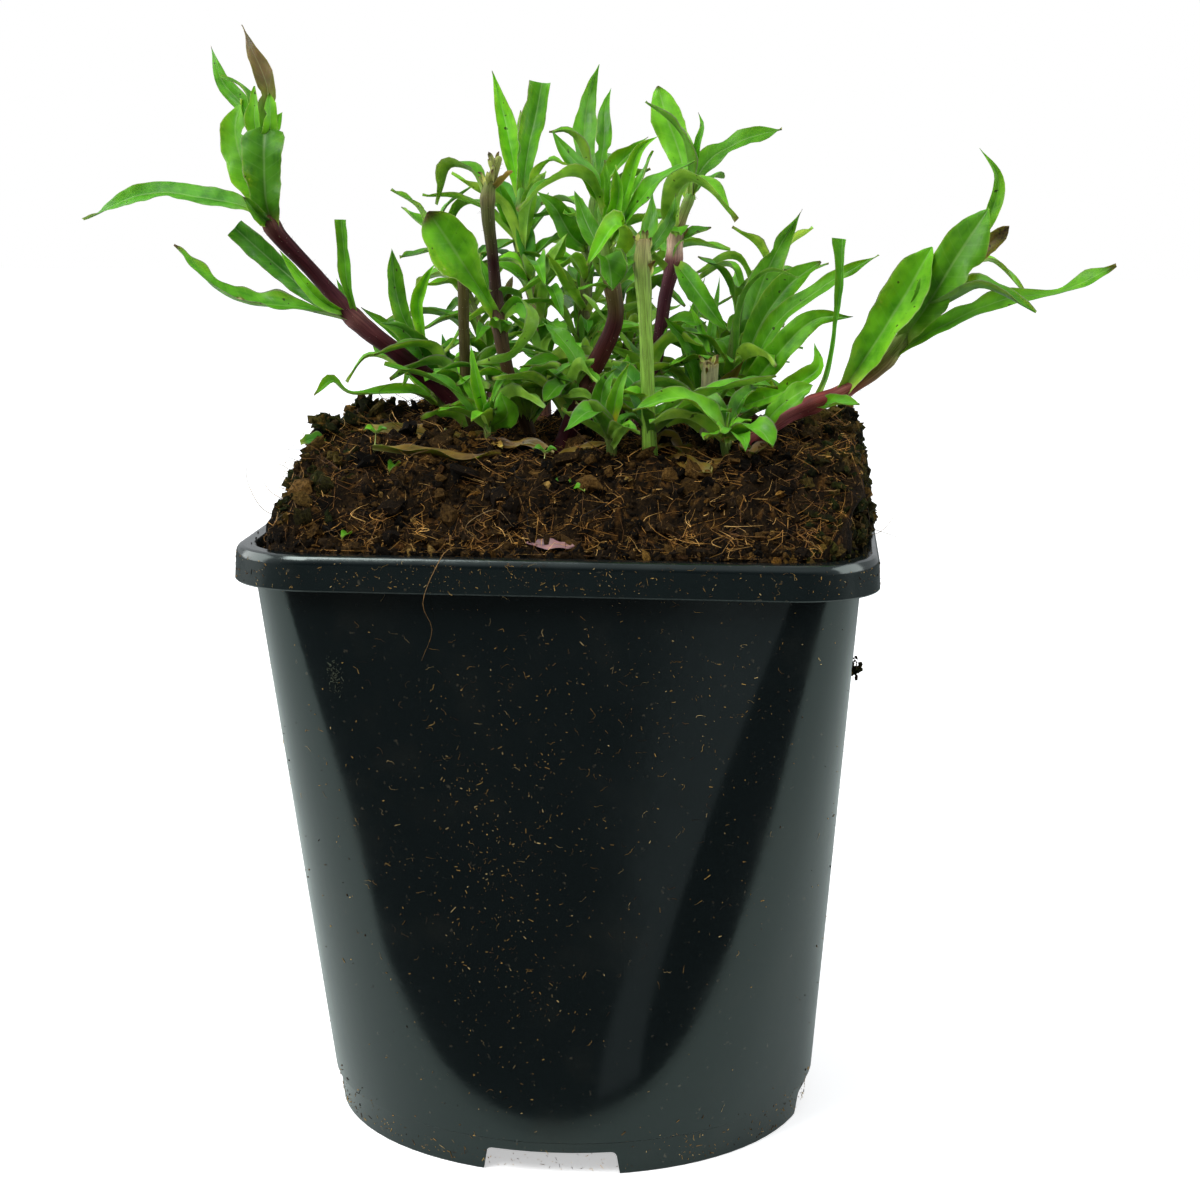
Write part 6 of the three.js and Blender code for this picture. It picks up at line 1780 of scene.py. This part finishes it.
@dataclass(frozen=True)
class LeafFlesh(Finish):
    """Living leaf flesh with a thin wax, grown."""

    name: str = "waxed_leaf_flesh"
    rib: str = "#b3c98a"
    margin: str = "#6a5560"
    dry: str = "#5c4024"
    dead: str = "#241910"
    soiled: str = "#2a2418"
    vein_gap: float = 2.1
    mottle: float = 2.6
    cell: float = 0.45
    mote: float = 1.3

    def look(self, add: Add) -> Look:
        """A soft sheen over mottled green, a pale rib, faint side veins, a purple margin and dry brown tips."""
        place = add("TexCoord", out="Object")
        across, reach, sere, rim = (add("Attribute", out="Fac", attribute_name=mark) for mark in Skin.MARKS)
        side = add("Math", (across,), operation="ABSOLUTE")
        deep, light = self.shades(add, (0.62, 0.7, 0.5), (1.4, 1.25, 0.72))
        # Fine lines run the leaf's length beside the rib
        lines = add("CombineXYZ", [add("Math", (mark, factor), operation="MULTIPLY")
                                   for mark, factor in ((across, 5.0), (reach, 0.09))])
        patch, cells, motes, streak = (
            add("TexNoise", {"Vector": where, "Scale": scale, "Detail": detail})
            for where, scale, detail in ((place, 1000 / self.mottle, 1), (place, 1000 / self.cell, 2),
                                         (place, 1000 / self.mote, 1), (lines, 1, 1)))
        # Side veins leave the rib at a slant towards the tip
        slant = add("Math", (side, -2.4, reach), operation="MULTIPLY_ADD")
        phase = add("Math", (slant, TURN / self.vein_gap), operation="MULTIPLY")
        wave = add("Math", (phase,), operation="SINE")
        edge = add("Math", (add("MapRange", (side, 0.9, 0.99, 0, 0.75)), rim), operation="MULTIPLY")
        brown = add("Mix", {0: add("MapRange", (cells, 0.3, 0.7)), 6: self.dry, 7: self.dead}, 2, data_type="RGBA")
        height = add("Math", (patch, 5.0, streak), operation="MULTIPLY_ADD")
        layers = ((None, deep), (add("MapRange", (patch, 0.32, 0.68)), light),
                  (add("MapRange", (cells, 0.35, 0.7, 0, 0.25)), light),
                  (add("MapRange", (wave, 0.86, 1, 0, 0.05)), self.rib),
                  (add("MapRange", (streak, 0.4, 0.7, 0, 0.35)), light),
                  (add("MapRange", (side, 0.02, 0.08, 0.2, 0)), self.rib),
                  (add("MapRange", (motes, 0.735, 0.76, 0, 0.85)), self.soiled),
                  (edge, self.margin), (sere, brown))
        return layers, {
            "Roughness": add("MapRange", (patch, 0.3, 0.7, 0.34, 0.5)), "IOR": 1.42, "Specular IOR Level": 0.28,
            "Subsurface Weight": 0.2, "Subsurface Radius": (0.7, 1.0, 0.2), "Subsurface Scale": 0.001,
            "Normal": add("Bump", {"Height": height, "Strength": 0.3, "Distance": 0.0001})}


@dataclass(frozen=True)
class StemSkin(Finish):
    """Juicy stem skin, grown."""

    name: str = "grown_stem_skin"
    stem: float = 3.2
    streak: float = 0.7
    grain: float = 0.8

    def look(self, add: Add) -> Look:
        """A faint gloss, with streaks along the stem."""
        around, reach = (add("Attribute", out="Fac", attribute_name=mark) for mark in Skin.MARKS[:2])
        wide = add("Math", (around, TURN), operation="MULTIPLY")
        ring = [add("Math", (wide,), operation=way) for way in ("COSINE", "SINE")]
        where = add("CombineXYZ", (*ring, add("Math", (reach, 0.06), operation="MULTIPLY")))
        streaks, grain = (
            add("TexNoise", {"Vector": vector, "Scale": scale, "Detail": detail})
            for vector, scale, detail in ((where, self.stem / self.streak, 4),
                                          (add("TexCoord", out="Object"), 1000 / self.grain, 3)))
        deep, pale = self.shades(add, (0.55, 0.5, 0.5), (1.15, 1.1, 1.0))
        layers = ((None, deep), (add("MapRange", (streaks, 0.36, 0.64)), pale),
                  (add("MapRange", (grain, 0.55, 0.75, 0, 0.3)), pale))
        return layers, {
            "Roughness": 0.42, "IOR": 1.42, "Specular IOR Level": 0.14, "Subsurface Weight": 0.05,
            "Subsurface Radius": (1.0, 0.5, 0.3), "Subsurface Scale": 0.001,
            "Normal": add("Bump", {"Height": streaks, "Strength": 0.2, "Distance": 0.0002})}


@dataclass(frozen=True)
class MilledPeat(Finish):
    """Milled peat, damp."""

    name: str = "milled_peat"
    straw: str = "#7d6036"
    grain: float = 0.55
    strand: float = 0.4

    def look(self, add: Add) -> Look:
        """Matt and almost black, with rough grain and brown fibre in it."""
        place = add("TexCoord", out="Object")
        grain = add("TexNoise", {"Vector": place, "Scale": 1000 / self.grain, "Detail": 5, "Roughness": 0.7})
        # Long thin noise reads as fibre in the crumb
        drawn = add("Mapping", {"Vector": place, "Scale": (1, 0.12, 0.5), "Rotation": (0.3, 0.2, 0.7)})
        fibre = add("TexNoise", {"Vector": drawn, "Scale": 1000 / self.strand, "Detail": 2})
        dark, light = self.shades(add, (0.2, 0.19, 0.18), (1.75, 1.72, 1.5))
        layers = ((None, dark), (add("MapRange", (grain, 0.35, 0.68)), light),
                  (add("MapRange", (fibre, 0.64, 0.72, 0, 0.6)), self.straw))
        return layers, {"Roughness": 0.9, "Specular IOR Level": 0.1,
                        "Normal": add("Bump", {"Height": grain, "Strength": 1, "Distance": 0.0009})}


@dataclass(frozen=True)
class DryStraw(Finish):
    """Dry plant fibre, broken."""

    name: str = "broken_straw"
    grain: float = 0.6

    def look(self, add: Add) -> Look:
        """Matt and straw-coloured, streaked darker."""
        place = add("TexCoord", out="Object")
        grain = add("TexNoise", {"Vector": place, "Scale": 1000 / self.grain, "Detail": 3})
        dark, light = self.shades(add, (0.55, 0.5, 0.45), (1.3, 1.25, 1.2))
        return ((None, dark), (add("MapRange", (grain, 0.35, 0.65)), light)), {
            "Roughness": 0.7, "Specular IOR Level": 0.3,
            "Normal": add("Bump", {"Height": grain, "Strength": 0.4, "Distance": 0.0001})}


@dataclass(frozen=True)
class PaintedBoard(Finish):
    """White board, painted matt: it glows a little, as in a bright room."""

    name: str = "painted_board"

    def look(self, add: Add) -> Look:
        """Plain white, but greyer where the pot mirrors it, and greyer still further out: a painted reflection, seen
        only in glossy rays.
        """
        seen, mirrored = (add("LightPath", out=ray) for ray in ("Is Camera Ray", "Is Glossy Ray"))
        out = add("VectorMath", (add("TexCoord", out="Object"),), "Value", operation="LENGTH")
        grey = add("Mix", {0: add("MapRange", (out, 0.32, 0.52)), 6: (0.53, 0.6, 0.575, 1),
                           7: (0.1, 0.12, 0.117, 1)}, 2, data_type="RGBA")
        return ((None, (0.93, 0.93, 0.93, 1)), (mirrored, grey)), {
            "Roughness": 0.8, "Emission Color": (1, 1, 1, 1),
            "Emission Strength": add("Math", (seen, 0.5), operation="MULTIPLY")}


@dataclass(frozen=True)
class ReflectionCard(Finish):
    """A matt, faintly blue card that the camera doesn't see, laid only for the pot to mirror: a painted reflection.
    """

    grey: float = 0.1

    def look(self, add: Add) -> Look:
        """An even grey."""
        return ((None, (self.grey, self.grey * 1.05, self.grey * 1.1, 1)),), {"Roughness": 0.9}


@dataclass(frozen=True)
class Studio:
    """The pale floor, the soft lights and the camera that stands where the photographer's did."""

    eye: Point = (41.75, -457.54, 179.914)
    yaw: float = 0.0815
    pitch: float = 0.1817
    roll: float = 0.0073
    focal: float = 2486.84
    frame_px: float = 1200
    sensor: float = 36.0
    CARD = ((-450, -900), (450, -900), (450, -150), (222, -98), (118, -72), (76, -66), (26, -60), (-26, -58),
            (-84, -60), (-136, -92), (-236, -110), (-450, -150))
    STRIP = ((22, -420), (110, -330), (62, -190), (36, -100), (25, -63), (11, -63), (12, -110), (8, -190))

    def camera(self) -> None:
        """Set up the camera."""
        lens = bpy.data.cameras.new("camera")
        lens.sensor_width = self.sensor
        lens.lens = self.focal * self.sensor / self.frame_px
        lens.clip_start, lens.clip_end = 0.01, 20
        item = bpy.data.objects.new("camera", lens)
        bpy.context.scene.collection.objects.link(item)
        forward = Vector((-math.sin(self.yaw) * math.cos(self.pitch),
                          math.cos(self.yaw) * math.cos(self.pitch), -math.sin(self.pitch)))
        right = Vector((math.cos(self.yaw), math.sin(self.yaw), 0))
        up = right.cross(forward)
        right, up = (right * math.cos(self.roll) + up * math.sin(self.roll),
                     up * math.cos(self.roll) - right * math.sin(self.roll))
        turn = Matrix((right, up, -forward)).transposed().to_4x4()
        item.matrix_world = Matrix.Translation(Vector(self.eye) * MM) @ turn
        bpy.context.scene.camera = item

    def floor(self) -> None:
        """Lay the pale floor."""
        bpy.ops.object.select_all(action="DESELECT")
        bpy.ops.mesh.primitive_plane_add(size=6, location=(0, 0, 0))
        plane = bpy.context.object
        plane.name = "floor"
        plane.data.materials.append(PaintedBoard().material())

    def card(self, name: str, outline: Sequence[tuple[float, float]], grey: float, z: float) -> None:
        """Lay a dark card in front of the pot, which its front mirrors and the camera doesn't see.

        Args:
            name: the card's name.
            outline: its corners on the floor, in millimetres.
            grey: how much light it gives back.
            z: how high it lies, in millimetres.
        """
        mesh = bpy.data.meshes.new(name)
        mesh.from_pydata([(x * MM, y * MM, z * MM) for x, y in outline], [], [tuple(range(len(outline)))])
        mesh.materials.append(ReflectionCard(name, grey).material())
        card = bpy.data.objects.new(name, mesh)
        bpy.context.scene.collection.objects.link(card)
        card.visible_camera = False
        card.visible_shadow = False

    def lamp(self, name: str, place: Point, aim: Point, size: tuple[float, float], power: float) -> None:
        """Hang a soft rectangular light.

        Args:
            name: the light's name.
            place: where it hangs, in metres.
            aim: what it faces.
            size: its width and height.
            power: its watts.
        """
        light = bpy.data.lights.new(name, "AREA")
        light.shape = "RECTANGLE"
        light.size, light.size_y = size
        light.energy = power
        item = bpy.data.objects.new(name, light)
        bpy.context.scene.collection.objects.link(item)
        way = Vector(aim) - Vector(place)
        item.matrix_world = Matrix.Translation(place) @ way.to_track_quat("-Z", "Y").to_matrix().to_4x4()

    def surround(self) -> None:
        """Fill the room with soft light, dark in front and low, and white behind the pot."""
        world = bpy.data.worlds.new("room")
        bpy.context.scene.world = world
        world.use_nodes = True
        world.node_tree.nodes.clear()
        add = partial(add_node, world.node_tree)
        front, height = (add("SeparateXYZ", (add("TexCoord", out="Generated"),), axis) for axis in "YZ")
        dim = add("Math", (add("MapRange", (front, -0.35, -0.85)), add("MapRange", (height, 0.55, 0.15))),
                  operation="MULTIPLY")
        room = add("Mix", {0: dim, 6: (0.56, 0.58, 0.6, 1), 7: (0.03, 0.035, 0.04, 1)}, 2, data_type="RGBA")
        lit, seen = (add("Background", {"Color": colour, "Strength": 1.0}) for colour in (room, (1, 1, 1, 1)))
        shown = add("MixShader", (add("LightPath", out="Is Camera Ray"), lit, seen))
        add("OutputWorld", {"Surface": shown})

    def build(self) -> None:
        """Set the camera, the floor and the lights."""
        self.camera()
        self.floor()
        # Cards that only the pot mirrors: painted reflections, the dark one of shade in front and a grey strip.
        self.card("dark_card", self.CARD, 0.006, 3)
        self.card("grey_strip", self.STRIP, 0.16, 4)
        self.surround()
        middle = (0, 0, 0.12)
        self.lamp("key", (-0.55, -0.75, 1.1), middle, (0.6, 0.6), 13)
        self.lamp("left_window", (-1.1, 0.1, 0.45), middle, (1.0, 0.8), 9)
        self.lamp("right_window", (1.1, -0.1, 0.5), middle, (0.8, 0.8), 7)
        bpy.context.scene.view_settings.view_transform = "Standard"


def main() -> None:
    """Build every sub-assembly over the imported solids."""
    logging.basicConfig(level=logging.INFO, format="%(name)s %(message)s", stream=sys.stdout)
    Studio().build()
    peat, straw, flesh = (finish.material() for finish in (MilledPeat(), DryStraw(), LeafFlesh()))
    pot = NurseryPot(MouldedPolypropylene().material(), straw)
    pot.build()
    pot.soil_specks(random.Random(5))
    PeatMound(peat, straw, flesh, pot).build()
    Plant(StemSkin().material(), flesh).grow()


if __name__ == "__main__":
    main()
